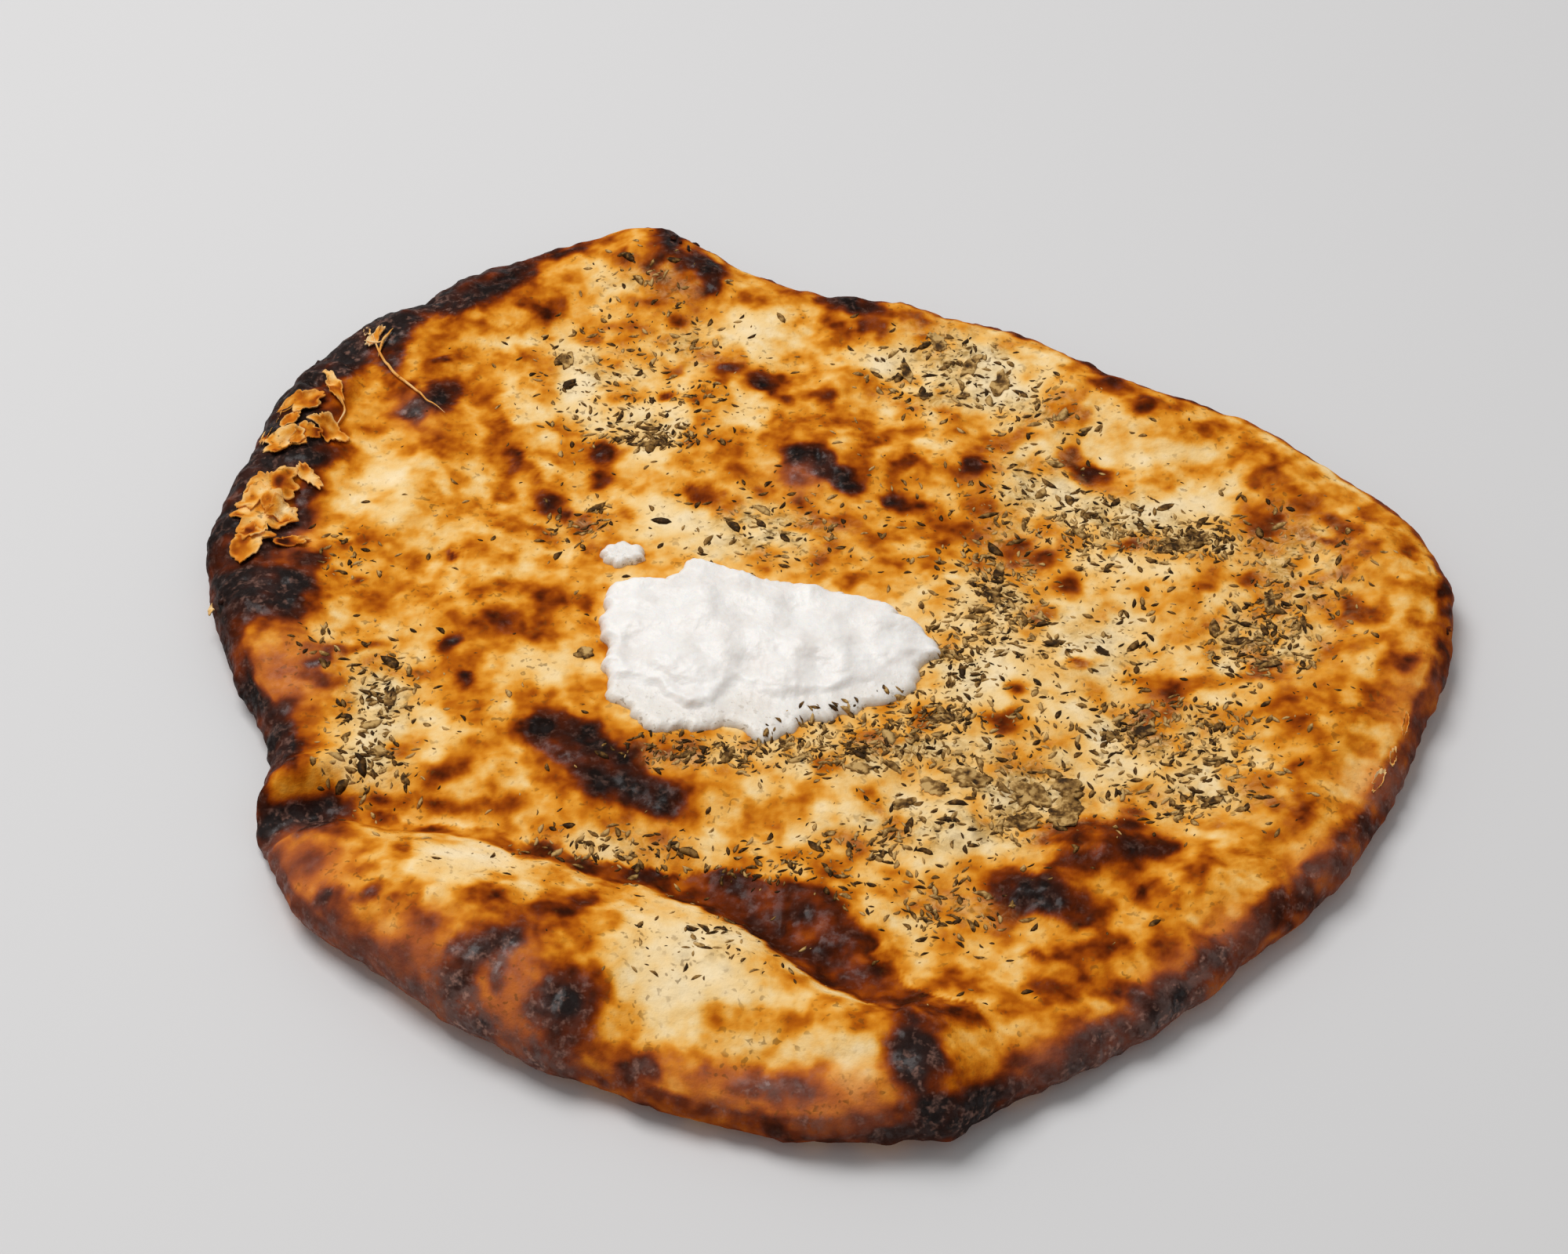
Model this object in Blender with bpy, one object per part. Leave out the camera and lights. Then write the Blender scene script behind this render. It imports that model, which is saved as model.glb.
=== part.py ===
"""Amritsari kulcha: a stuffed oven flatbread with a puffed and folded front, a charred wavy rim,
a smear of white butter, a small dab beside it and flecks of dried green herb baked onto its crust.

Metres, +Z up. The origin is on the surface that the bread rests on, under the middle of the bread.
+X is the right-hand rim and -Y the puffed front. Sizes below are millimetres unless they say degrees.
"""

import bmesh
import bpy
import numpy as np

MM = 0.001

# The bread in plan: a round of this mean reach, and the places where its rim swells out or draws in.
MEAN_REACH = 116.0
RIM_SWELLS = (  # bearing from +X in degrees, reach in mm, spread in degrees
    (4.0, 9.5, 16.0),
    (22.0, -2.0, 6.0),
    (48.0, -18.5, 19.0),
    (75.0, -14.5, 17.0),
    (91.0, -7.5, 9.0),
    (108.5, 8.5, 6.0),
    (121.0, 15.0, 12.0),
    (144.0, 18.0, 15.0),
    (168.0, 10.5, 13.0),
    (197.0, -4.5, 7.0),
    (206.0, 2.0, 2.5),
    (216.0, 6.0, 10.0),
    (238.0, 3.5, 14.0),
    (262.0, 5.0, 14.0),
    (277.0, 7.0, 11.0),
    (312.0, -3.0, 12.0),
)

# The bread in section.
CRUMB = 9.0
SMEAR_BED = 9.5
RIM_INSET = 13.0
RIM_BREADTH = 10.0
RIM_RISES = (  # bearing, height over the crumb, spread
    (10.0, 3.5, 40.0),
    (60.0, 1.5, 20.0),
    (106.0, 2.5, 10.0),
    (140.0, 3.0, 24.0),
    (180.0, 2.0, 16.0),
    (232.0, 4.0, 18.0),
    (277.0, 3.5, 10.0),
    (315.0, 2.5, 18.0),
)
WALL_RUN = 7.0
WALL_RUNS = ((235.0, 5.0, 24.0), (277.0, 3.0, 12.0), (150.0, 1.5, 25.0))
WIDEST_SHARE = 0.42
FOOT_INSET = 6.5
FOOT_LIFT = 0.4
FOOT_LIFTS = ((205.0, 2.2, 9.0), (128.0, 1.6, 20.0), (20.0, 1.2, 24.0), (335.0, 1.0, 14.0))
REST_INSET = 22.0

PUFFS = (  # x, y, height, half length, half width, turn in degrees: pillows and burnt blisters
    (-30.0, -92.0, 5.5, 40.0, 15.0, -14.0),
    (-72.0, -72.0, 3.5, 24.0, 12.0, -32.0),
    (2.0, -108.0, 3.0, 16.0, 10.0, -8.0),
    (16.0, -108.0, 2.4, 6.5, 9.0, -12.0),
    (-45.0, -38.0, 2.2, 17.0, 8.0, -32.0),
    (0.0, 44.0, 2.4, 10.0, 8.0, -35.0),
    (52.0, -62.0, 2.4, 13.0, 6.0, 12.0),
    (39.0, -73.0, 2.2, 9.0, 6.0, 0.0),
    (-64.0, -3.0, 1.2, 12.0, 6.0, -12.0),
    (-84.0, 62.0, 2.0, 7.0, 12.0, 20.0),
    (31.0, 43.0, 1.2, 7.0, 5.0, 0.0),
    (-36.0, 112.0, 2.0, 9.0, 10.0, 0.0),
    (-101.0, -45.5, 3.6, 10.0, 4.0, 28.0),
    (90.0, -24.0, 1.4, 10.0, 14.0, -20.0),
    (66.0, 58.0, 1.4, 7.0, 12.0, 10.0),
    (-60.0, 30.0, -1.2, 14.0, 22.0, 20.0),
    (55.0, 5.0, -1.0, 26.0, 34.0, 0.0),
    (30.0, -46.0, -0.8, 20.0, 12.0, 0.0),
    (-85.0, -30.0, -1.0, 10.0, 18.0, 0.0),
    (-52.0, -98.0, 1.6, 5.0, 9.0, 12.0),
    (-66.0, -94.0, 1.4, 4.5, 8.0, 24.0),
    (-104.0, -36.0, 1.2, 4.0, 9.0, 0.0),
)
PEELED_CRUST = (  # x, y, height, half length, half width, turn: scales of crust that stand up at the rim
    (-117.0, 27.0, 1.6, 12.5, 6.5, 82.0),
    (-111.0, 55.0, 1.6, 10.5, 7.5, 40.0),
    (-103.0, 68.0, 1.4, 6.0, 3.0, -60.0),
)

# The fold: a crease from the open notch at the left rim to the front right, with the pillow over it.
CREASE = (
    (-110.0, -55.0),
    (-92.0, -52.0),
    (-66.0, -56.0),
    (-48.0, -64.0),
    (-31.0, -69.0),
    (-20.0, -73.5),
    (-12.0, -80.0),
    (-5.0, -88.0),
    (2.0, -94.5),
    (12.0, -99.5),
    (24.0, -102.0),
)
CREASE_DEPTHS = (7.5, 6.0, 2.2, 2.4, 3.2, 4.0, 4.8, 4.6, 3.8, 2.4, 0.0)
CREASE_BACK = 7.0
CREASE_FRONT = 4.0

# The torn flap of crust behind the small dab of butter.
FLAP = ((-50.0, 31.0), (-40.0, 22.0), (-33.0, 13.0))
FLAP_HEIGHT = 1.2
FLAP_BREADTH = 2.6

# Slow waves over the whole crust: height and length from crest to crest.
WAVES = ((0.7, 44.0, 5), (0.4, 23.0, 8))

# The smear of butter, its reach round its own middle, and the dab. Both lie on a level bed.
SMEAR_X, SMEAR_Y = -13.0, -12.0
SMEAR_EDGE = (  # bearing from its middle and reach
    (5.0, 34.2),
    (13.2, 29.4),
    (25.0, 26.8),
    (47.0, 19.4),
    (62.0, 19.0),
    (83.0, 18.0),
    (103.0, 20.2),
    (112.5, 23.8),
    (120.5, 26.8),
    (139.0, 26.0),
    (152.0, 34.4),
    (180.0, 30.0),
    (204.0, 31.5),
    (219.0, 29.6),
    (228.0, 29.8),
    (235.0, 25.5),
    (253.0, 21.4),
    (263.6, 22.3),
    (272.0, 25.0),
    (277.8, 23.6),
    (294.0, 21.2),
    (304.6, 22.7),
    (323.7, 25.7),
    (335.6, 30.7),
    (352.0, 31.6),
    (357.5, 36.0),
)
SMEAR_LIP = (
    (-50.0, -10.0),
    (-40.0, -19.0),
    (-33.0, -24.5),
    (-27.0, -28.5),
    (-22.0, -27.5),
    (-17.0, -22.7),
    (-13.5, -23.0),
    (-6.5, -27.5),
    (-2.0, -26.3),
    (4.0, -23.0),
    (10.0, -22.0),
    (22.0, -13.0),
)
SKIRT = 1.2
LIP_BULGE = 0.8
SMEAR_MASS = 3.4
SMEAR_HILLS = (
    (-24.0, -2.0, 1.5, 9.0, 7.0, 0.0),
    (-10.0, -10.0, 0.8, 12.0, 5.0, -20.0),
    (-26.0, -17.0, 1.0, 8.0, 5.0, 10.0),
    (-5.0, -17.0, 0.7, 7.0, 4.0, 0.0),
    (-36.0, -8.0, -0.6, 6.0, 9.0, 0.0),
)
SMEAR_WAVES = ((0.35, 11.0, 3), (0.2, 7.0, 4))
SMEAR_RUN = 2.6
DAB_X, DAB_Y = -40.5, 14.5
DAB_LONG, DAB_WIDE = 4.6, 3.4
DAB_MASS = 2.0
DAB_RUN = 1.8
GAP = 0.35
BEDS = ((SMEAR_X, SMEAR_Y, 42.0, 31.0), (DAB_X, DAB_Y, 9.0, 8.0))
BED_BLEND = 1.4

# Flecks of herb: x, y, half length and half width of each drift of them, and how many are the big ones.
HERB_DRIFTS = (
    (29.0, 78.0, 9.0, 8.0, 7),
    (24.0, 66.0, 8.0, 4.0, 3),
    (46.0, 61.0, 7.0, 5.0, 4),
    (58.0, 26.0, 9.0, 5.0, 6),
    (72.0, 20.0, 7.0, 3.0, 4),
    (44.0, 38.0, 7.0, 7.0, 4),
    (37.0, 16.0, 4.0, 9.0, 4),
    (34.0, 1.0, 5.0, 6.0, 4),
    (95.0, 14.0, 7.0, 10.0, 5),
    (86.0, -8.0, 8.0, 6.0, 6),
    (-38.0, 53.0, 7.0, 3.0, 4),
    (-50.0, 74.0, 6.0, 8.0, 3),
    (-30.0, 82.0, 8.0, 6.0, 3),
    (-36.0, 104.0, 8.0, 5.0, 3),
    (-49.0, 25.0, 4.0, 4.0, 3),
    (-12.0, 23.0, 9.0, 6.0, 6),
    (-86.0, -25.0, 5.0, 7.0, 4),
    (-85.0, -41.0, 5.0, 4.0, 3),
    (-96.0, -12.0, 6.0, 3.0, 2),
    (-22.0, -39.0, 12.0, 2.5, 4),
    (12.0, -38.0, 10.0, 4.0, 6),
    (36.0, -48.0, 9.0, 7.0, 7),
    (20.0, -58.0, 14.0, 4.0, 4),
    (63.0, -34.0, 9.0, 5.0, 5),
    (70.0, -50.0, 9.0, 4.0, 4),
    (26.0, -16.0, 3.0, 8.0, 3),
    (24.0, -76.0, 7.0, 4.0, 3),
    (-20.0, -87.0, 7.0, 5.0, 2),
    (-38.0, -62.0, 10.0, 3.0, 2),
    (52.0, -10.0, 8.0, 8.0, 3),
)
HERB_SEED = 11
HERB_APART = 3.4
HERB_CLEAR_OF_BUTTER = 4.0
HERB_LENGTHS = (3.0, 5.2)
HERB_WIDTH_SHARE = 0.42
HERB_SUNK = 0.35
HERB_PROUD = 0.65

# How finely the surfaces are cut.
BREAD_CELLS = 40
RIM_STEPS_UP = (18.0, 42.0, 68.0, 90.0)
RIM_STEPS_DOWN = (130.0, 180.0)
SMEAR_CELLS = 17
DAB_CELLS = 5
EDGE_STEPS_UP = (35.0, 65.0, 90.0)


def rise_and_fall(bearing, rows):
    """Sum of bell curves round a full turn; each row is bearing, height and spread."""
    total = np.zeros_like(bearing)
    for middle, height, spread in rows:
        away = (bearing - middle + 180.0) % 360.0 - 180.0
        total += height * np.exp(-((away / spread) ** 2))
    return total


def own_axes(x, y, middle_x, middle_y, long, wide, turn):
    """Coordinates on an ellipse's own long and short axes, 1 at its edge."""
    angle = np.radians(turn)
    right, ahead = x - middle_x, y - middle_y
    u = (right * np.cos(angle) + ahead * np.sin(angle)) / long
    v = (ahead * np.cos(angle) - right * np.sin(angle)) / wide
    return u, v


def hills(x, y, rows):
    """Sum of oval bell-shaped hills, negative ones being hollows."""
    total = np.zeros_like(x)
    for middle_x, middle_y, height, long, wide, turn in rows:
        u, v = own_axes(x, y, middle_x, middle_y, long, wide, turn)
        total += height * np.exp(-(u**2 + v**2))
    return total


def smooth(low, high, value):
    """0 below low, 1 above high and an S-curve between."""
    share = np.clip((value - low) / (high - low), 0.0, 1.0)
    return share * share * (3.0 - 2.0 * share)


def scales(x, y, rows):
    """Sum of oval plates with a wavy, fairly steep edge."""
    total = np.zeros_like(x)
    for middle_x, middle_y, height, long, wide, turn in rows:
        u, v = own_axes(x, y, middle_x, middle_y, long, wide, turn)
        wavy = 1.0 + 0.14 * np.sin(4.0 * np.arctan2(v, u) + middle_y)
        total += height * smooth(1.25, 0.85, np.hypot(u, v) * wavy)
    return total


def waves(x, y, rows):
    """Sum of six plane waves a row, at seeded bearings and phases; each row is height, length and seed."""
    total = np.zeros_like(x)
    for height, length, seed in rows:
        draw = np.random.default_rng(seed)
        for bearing, phase in zip(draw.uniform(0, np.pi, 6), draw.uniform(0, 2 * np.pi, 6)):
            along = x * np.cos(bearing) + y * np.sin(bearing)
            total += height / 6**0.5 * np.sin(2 * np.pi * along / length + phase)
    return total


def beside_path(x, y, path):
    """For each point, the signed distance to a path of straight stretches, positive to its left,
    and how far along the path the nearest point lies, in stretches."""
    nearest = np.full_like(x, np.inf)
    signed = np.zeros_like(x)
    along = np.zeros_like(x)
    for index, ((ax, ay), (bx, by)) in enumerate(zip(path[:-1], path[1:])):
        step_x, step_y = bx - ax, by - ay
        length = np.hypot(step_x, step_y)
        share = np.clip(((x - ax) * step_x + (y - ay) * step_y) / length**2, 0.0, 1.0)
        away = np.hypot(x - ax - share * step_x, y - ay - share * step_y)
        side = np.sign(step_x * (y - ay) - step_y * (x - ax))
        closer = away < nearest
        signed = np.where(closer, side * away, signed)
        along = np.where(closer, index + share, along)
        nearest = np.where(closer, away, nearest)
    return signed, along


def reach(bearing):
    """How far the bread's rim is from the origin at a bearing."""
    return MEAN_REACH + rise_and_fall(bearing, RIM_SWELLS)


def wall_run(bearing):
    """How far in from the rim its rounded side starts."""
    return WALL_RUN + rise_and_fall(bearing, WALL_RUNS)


def crease(x, y):
    """Depth of the fold: steep under the pillow in front and gentle behind."""
    signed, along = beside_path(x, y, CREASE)
    depth = np.interp(along, np.arange(len(CREASE)), CREASE_DEPTHS)
    breadth = np.where(signed > 0, CREASE_BACK, CREASE_FRONT)
    return depth * np.exp(-((signed / breadth) ** 2))


def flap(x, y):
    """A low ridge that fades towards both ends of its path."""
    signed, along = beside_path(x, y, FLAP)
    fade = np.sin(np.pi * np.clip(along / (len(FLAP) - 1), 0.05, 0.95))
    return FLAP_HEIGHT * fade * np.exp(-((signed / FLAP_BREADTH) ** 2))


def level_bed(x, y):
    """1 on the level beds that the butter lies on, fading to 0 round them."""
    share = np.zeros_like(x)
    for middle_x, middle_y, long, wide in BEDS:
        u, v = own_axes(x, y, middle_x, middle_y, long, wide, 0.0)
        share = np.maximum(share, smooth(BED_BLEND, 1.0, np.hypot(u, v)))
    return share


def bread_top(x, y):
    """Height of the crust: crumb, raised rim, puffs, peeled scales, fold, flap and slow waves."""
    bearing = np.degrees(np.arctan2(y, x))
    inset = reach(bearing) - np.hypot(x, y)
    rim = rise_and_fall(bearing, RIM_RISES) * np.exp(-(((inset - RIM_INSET) / RIM_BREADTH) ** 2))
    free = CRUMB + rim + hills(x, y, PUFFS) + scales(x, y, PEELED_CRUST)
    free += flap(x, y) + waves(x, y, WAVES) - crease(x, y)
    bed = level_bed(x, y)
    return free * (1.0 - bed) + SMEAR_BED * bed


def round_grid(cells):
    """A square grid bent to a disc: each point's share of the reach and its bearing, as (cells + 1)
    squared arrays. Rings of the square become rings of the disc."""
    side = np.linspace(-1.0, 1.0, cells + 1)
    a, b = np.meshgrid(side, side)
    ring = np.maximum(np.abs(a), np.abs(b))
    safe_a, safe_b = np.where(a == 0, 1.0, a), np.where(b == 0, 1.0, b)
    flat_turn = 45.0 * b / safe_a + np.where(a < 0, 180.0, 0.0)
    steep_turn = 90.0 - 45.0 * a / safe_b + np.where(b < 0, 180.0, 0.0)
    return ring, np.where(np.abs(a) > np.abs(b), flat_turn, steep_turn)


def grid_border(cells):
    """Indices of the grid's outer points, once round anticlockwise from its corner."""
    index = np.arange((cells + 1) ** 2).reshape(cells + 1, cells + 1)
    sides = (index[0, :-1], index[:-1, -1], index[-1, :0:-1], index[:0:-1, 0])
    return np.concatenate(sides)


def grid_faces(cells):
    """The grid's squares, facing up."""
    index = np.arange((cells + 1) ** 2).reshape(cells + 1, cells + 1)
    corners = (index[:-1, :-1], index[:-1, 1:], index[1:, 1:], index[1:, :-1])
    return np.stack([corner.ravel() for corner in corners], 1).tolist()


def band_faces(upper, lower):
    """The squares between two rings of points, facing outwards."""
    return np.stack([upper, lower, np.roll(lower, -1), np.roll(upper, -1)], 1).tolist()


def closed_form(name, cells, disc_point, ring_points, closing_faces, material):
    """One closed mesh: a disc grid on top, rings of points down its side, and a closing underside."""
    ring, bearing = round_grid(cells)
    points = [disc_point(ring.ravel(), bearing.ravel())]
    border = grid_border(cells)
    around = bearing.ravel()[border]
    faces = grid_faces(cells)
    start, upper = len(ring.ravel()), border
    for ring_point in ring_points:
        points.append(ring_point(around))
        lower = start + np.arange(len(border))
        faces += band_faces(upper, lower)
        start, upper = start + len(border), lower
    more_points, more_faces = closing_faces(start, upper)
    vertices = np.concatenate(points + more_points) * MM
    mesh = bpy.data.meshes.new(name)
    mesh.from_pydata(vertices.tolist(), [], faces + more_faces)
    mesh.materials.append(material)
    piece = bpy.data.objects.new(name, mesh)
    bpy.context.scene.collection.objects.link(piece)
    return piece


def bread_mesh(material):
    """The bread: crust grid, rounded side, raised foot and one level face that it rests on."""

    def crust(share, bearing):
        far = share * (reach(bearing) - wall_run(bearing))
        x, y = far * np.cos(np.radians(bearing)), far * np.sin(np.radians(bearing))
        return np.stack([x, y, bread_top(x, y)], 1)

    def at(bearing, far, height):
        turn = np.radians(bearing)
        return np.stack([far * np.cos(turn), far * np.sin(turn), height], 1)

    def side_heights(bearing):
        shoulder = reach(bearing) - wall_run(bearing)
        turn = np.radians(bearing)
        top = bread_top(shoulder * np.cos(turn), shoulder * np.sin(turn))
        return top, top * WIDEST_SHARE, FOOT_LIFT + rise_and_fall(bearing, FOOT_LIFTS)

    def upper_side(step):
        def ring(bearing):
            top, widest, _ = side_heights(bearing)
            run, turn = wall_run(bearing), np.radians(step)
            far = reach(bearing) - run + run * np.sin(turn)
            return at(bearing, far, widest + (top - widest) * np.cos(turn))

        return ring

    def lower_side(step):
        def ring(bearing):
            _, widest, lift = side_heights(bearing)
            turn = np.radians(step)
            far = reach(bearing) - FOOT_INSET + FOOT_INSET * np.sin(turn)
            return at(bearing, far, widest + (widest - lift) * np.cos(turn))

        return ring

    def rest_ring(bearing):
        return at(bearing, reach(bearing) - REST_INSET, np.zeros_like(bearing))

    def level_face(start, upper):
        return [], [upper[::-1].tolist()]

    rings = [upper_side(step) for step in RIM_STEPS_UP]
    rings += [lower_side(step) for step in RIM_STEPS_DOWN] + [rest_ring]
    return closed_form("kulcha", BREAD_CELLS, crust, rings, level_face, material)


def smear_reach(bearing):
    """How far the smear of butter spreads from its own middle, along its traced edge."""
    bearings, reaches = np.array(SMEAR_EDGE).T
    return np.interp(bearing, bearings, reaches, period=360.0)


def smear_depth(x, y):
    """Thickness of the smear: a thin skirt in front of its lip and the lumpy mass behind it, which
    bulges along the lip."""
    signed, _ = beside_path(x, y, SMEAR_LIP)
    mass = SMEAR_MASS * smooth(-0.8, 2.0, signed) + LIP_BULGE * np.exp(-(((signed - 2.4) / 1.8) ** 2))
    lumps = hills(x, y, SMEAR_HILLS) + waves(x, y, SMEAR_WAVES)
    return SKIRT + mass + lumps * smooth(-1.0, 4.0, signed)


def dab_reach(bearing):
    turn = np.radians(bearing)
    return 1.0 / np.hypot(np.cos(turn) / DAB_LONG, np.sin(turn) / DAB_WIDE)


def dab_depth(x, y):
    return np.full_like(x, DAB_MASS)


def butter_mesh(name, cells, middle, spread, depth, run, material):
    """Butter on its level bed: a disc grid, a rounded edge and the same grid again as its underside."""
    bed = SMEAR_BED + GAP

    def place(bearing, far):
        turn = np.radians(bearing)
        return middle[0] + far * np.cos(turn), middle[1] + far * np.sin(turn)

    def top(share, bearing):
        x, y = place(bearing, share * (spread(bearing) - run))
        return np.stack([x, y, bed + depth(x, y)], 1)

    def edge(step):
        def ring(bearing):
            turn = np.radians(step)
            shoulder_x, shoulder_y = place(bearing, spread(bearing) - run)
            x, y = place(bearing, spread(bearing) - run + run * np.sin(turn))
            return np.stack([x, y, bed + depth(shoulder_x, shoulder_y) * np.cos(turn)], 1)

        return ring

    def level_face(start, upper):
        return [], [upper[::-1].tolist()]

    rings = [edge(step) for step in EDGE_STEPS_UP]
    return closed_form(name, cells, top, rings, level_face, material)


def herb_places():
    """Seeded places of the big flecks: x, y, length and turn, kept apart and clear of the butter."""
    draw = np.random.default_rng(HERB_SEED)
    kept = []
    for middle_x, middle_y, long, wide, count in HERB_DRIFTS:
        wanted = len(kept) + count
        for _ in range(count * 12):
            x, y = middle_x + long * draw.normal(), middle_y + wide * draw.normal()
            length, turn = draw.uniform(*HERB_LENGTHS), draw.uniform(0.0, 180.0)
            bearing = np.degrees(np.arctan2(y, x))
            smear_bearing = np.degrees(np.arctan2(y - SMEAR_Y, x - SMEAR_X))
            from_smear = np.hypot(x - SMEAR_X, y - SMEAR_Y) - smear_reach(np.array([smear_bearing]))[0]
            from_dab = np.hypot(x - DAB_X, y - DAB_Y) - DAB_LONG
            inside = reach(np.array([bearing]))[0] - np.hypot(x, y) > 14.0
            apart = all(np.hypot(x - other[0], y - other[1]) > HERB_APART for other in kept)
            if inside and apart and min(from_smear, from_dab) > HERB_CLEAR_OF_BUTTER:
                kept.append((x, y, length, turn))
            if len(kept) == wanted:
                break
    return kept


def herb_mesh(index, x, y, length, turn, material):
    """One fleck: a curled leaf, pointed at both ends, that drapes over the crust half sunk in it."""
    stations = np.array([-0.28, 0.04, 0.3])
    girth = np.array([0.8, 1.0, 0.62])
    half_width = 0.5 * HERB_WIDTH_SHARE * length
    angle = np.radians(turn)
    along, across, lift = [-0.5 * length], [0.0], [0.1]
    for station, share in zip(stations, girth):
        curl = 0.12 * length * np.cos(np.pi * station)
        along += [station * length] * 4
        across += [curl + side * half_width * share for side in (-1.0, 0.0, 1.0, 0.0)]
        lift += [0.15, HERB_PROUD * share, 0.15, -HERB_SUNK]
    along.append(0.5 * length)
    across.append(0.0)
    lift.append(0.1)
    along, across, lift = np.array(along), np.array(across), np.array(lift)
    place_x = x + along * np.cos(angle) - across * np.sin(angle)
    place_y = y + along * np.sin(angle) + across * np.cos(angle)
    vertices = np.stack([place_x, place_y, bread_top(place_x, place_y) + lift], 1) * MM
    faces = []
    for side in range(4):
        after = (side + 1) % 4
        faces.append((0, 1 + after, 1 + side))
        for station in (1, 5):
            corners = (station + side, station + after, station + 4 + after, station + 4 + side)
            faces += [(corners[0], corners[1], corners[2]), (corners[0], corners[2], corners[3])]
        faces.append((13, 9 + side, 9 + after))
    mesh = bpy.data.meshes.new(f"fleck_{index}")
    mesh.from_pydata(vertices.tolist(), [], faces)
    shell = bmesh.new()
    shell.from_mesh(mesh)
    bmesh.ops.recalc_face_normals(shell, faces=shell.faces)
    shell.to_mesh(mesh)
    shell.free()
    mesh.materials.append(material)
    return bpy.data.objects.new(f"fleck_{index}", mesh)


def biggest_body_only(mesh):
    """Drops the loose scraps that a union can leave."""
    shell = bmesh.new()
    shell.from_mesh(mesh)
    unseen = set(shell.verts)
    bodies = []
    while unseen:
        body, edge_of_body = set(), [unseen.pop()]
        while edge_of_body:
            vertex = edge_of_body.pop()
            body.add(vertex)
            for link in vertex.link_edges:
                other = link.other_vert(vertex)
                if other in unseen:
                    unseen.discard(other)
                    edge_of_body.append(other)
        bodies.append(body)
    keep = max(bodies, key=len)
    scraps = [vertex for vertex in shell.verts if vertex not in keep]
    bmesh.ops.delete(shell, geom=scraps, context="VERTS")
    shell.to_mesh(mesh)
    shell.free()


def fuse_herbs(bread, material):
    """Joins the big flecks to the crust by one union and removes their own objects."""
    flecks = bpy.data.collections.new("flecks")
    bpy.context.scene.collection.children.link(flecks)
    for index, place in enumerate(herb_places()):
        flecks.objects.link(herb_mesh(index, *place, material))
    union = bread.modifiers.new("fuse herbs", "BOOLEAN")
    union.operation = "UNION"
    union.operand_type = "COLLECTION"
    union.collection = flecks
    union.solver = "EXACT"
    bpy.context.view_layer.update()
    graph = bpy.context.evaluated_depsgraph_get()
    fused = bpy.data.meshes.new_from_object(bread.evaluated_get(graph))
    bread.modifiers.clear()
    bread.data = fused
    for fleck in list(flecks.objects):
        bpy.data.objects.remove(fleck)
    bpy.data.collections.remove(flecks)
    biggest_body_only(fused)


def material(name, colour, roughness):
    """A plain finish: a Principled surface of one colour."""
    made = bpy.data.materials.new(name)
    made.use_nodes = True
    surface = made.node_tree.nodes["Principled BSDF"]
    surface.inputs["Base Color"].default_value = (*colour, 1.0)
    surface.inputs["Roughness"].default_value = roughness
    surface.inputs["Metallic"].default_value = 0.0
    made.diffuse_color = (*colour, 1.0)
    return made


def main():
    for old in list(bpy.data.objects):
        bpy.data.objects.remove(old)
    crust = material("toasted crust", (0.62, 0.31, 0.09), 0.55)
    herb = material("dried herb", (0.12, 0.12, 0.04), 0.8)
    butter = material("white butter", (0.88, 0.86, 0.80), 0.45)
    bread = bread_mesh(crust)
    fuse_herbs(bread, herb)
    smear_middle = (SMEAR_X, SMEAR_Y)
    smear = butter_mesh("butter", SMEAR_CELLS, smear_middle, smear_reach, smear_depth, SMEAR_RUN, butter)
    dab = butter_mesh("butter_dab", DAB_CELLS, (DAB_X, DAB_Y), dab_reach, dab_depth, DAB_RUN, butter)
    for piece in (bread, smear, dab):
        piece.data.shade_smooth()
        piece.data.set_sharp_from_angle(angle=np.radians(50.0))


main()
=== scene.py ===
"""Looks of an amritsari kulcha: the baked crust with its relief and colours, peeled scales of crust,
a stray strand of dough, flecks of herb, and white butter.

Shapes are worked out in millimetres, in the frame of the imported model, and scaled to metres as they
go into a mesh. Surfaces are numpy arrays over a grid; nothing loops over single points.
"""

import bpy
import numpy as np
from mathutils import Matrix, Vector


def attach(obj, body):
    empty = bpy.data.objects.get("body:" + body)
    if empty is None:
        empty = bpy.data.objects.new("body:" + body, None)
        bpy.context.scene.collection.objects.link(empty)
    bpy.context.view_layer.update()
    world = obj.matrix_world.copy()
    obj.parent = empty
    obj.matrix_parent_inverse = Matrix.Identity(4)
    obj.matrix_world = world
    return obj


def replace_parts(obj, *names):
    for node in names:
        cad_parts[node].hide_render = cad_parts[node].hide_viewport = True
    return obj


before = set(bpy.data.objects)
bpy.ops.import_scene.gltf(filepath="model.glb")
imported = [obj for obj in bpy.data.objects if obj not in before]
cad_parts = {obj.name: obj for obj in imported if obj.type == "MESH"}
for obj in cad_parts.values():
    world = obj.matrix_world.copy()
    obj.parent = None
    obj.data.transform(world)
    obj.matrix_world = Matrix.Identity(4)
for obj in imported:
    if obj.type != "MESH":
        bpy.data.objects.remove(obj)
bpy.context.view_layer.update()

MM = 0.001

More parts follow.
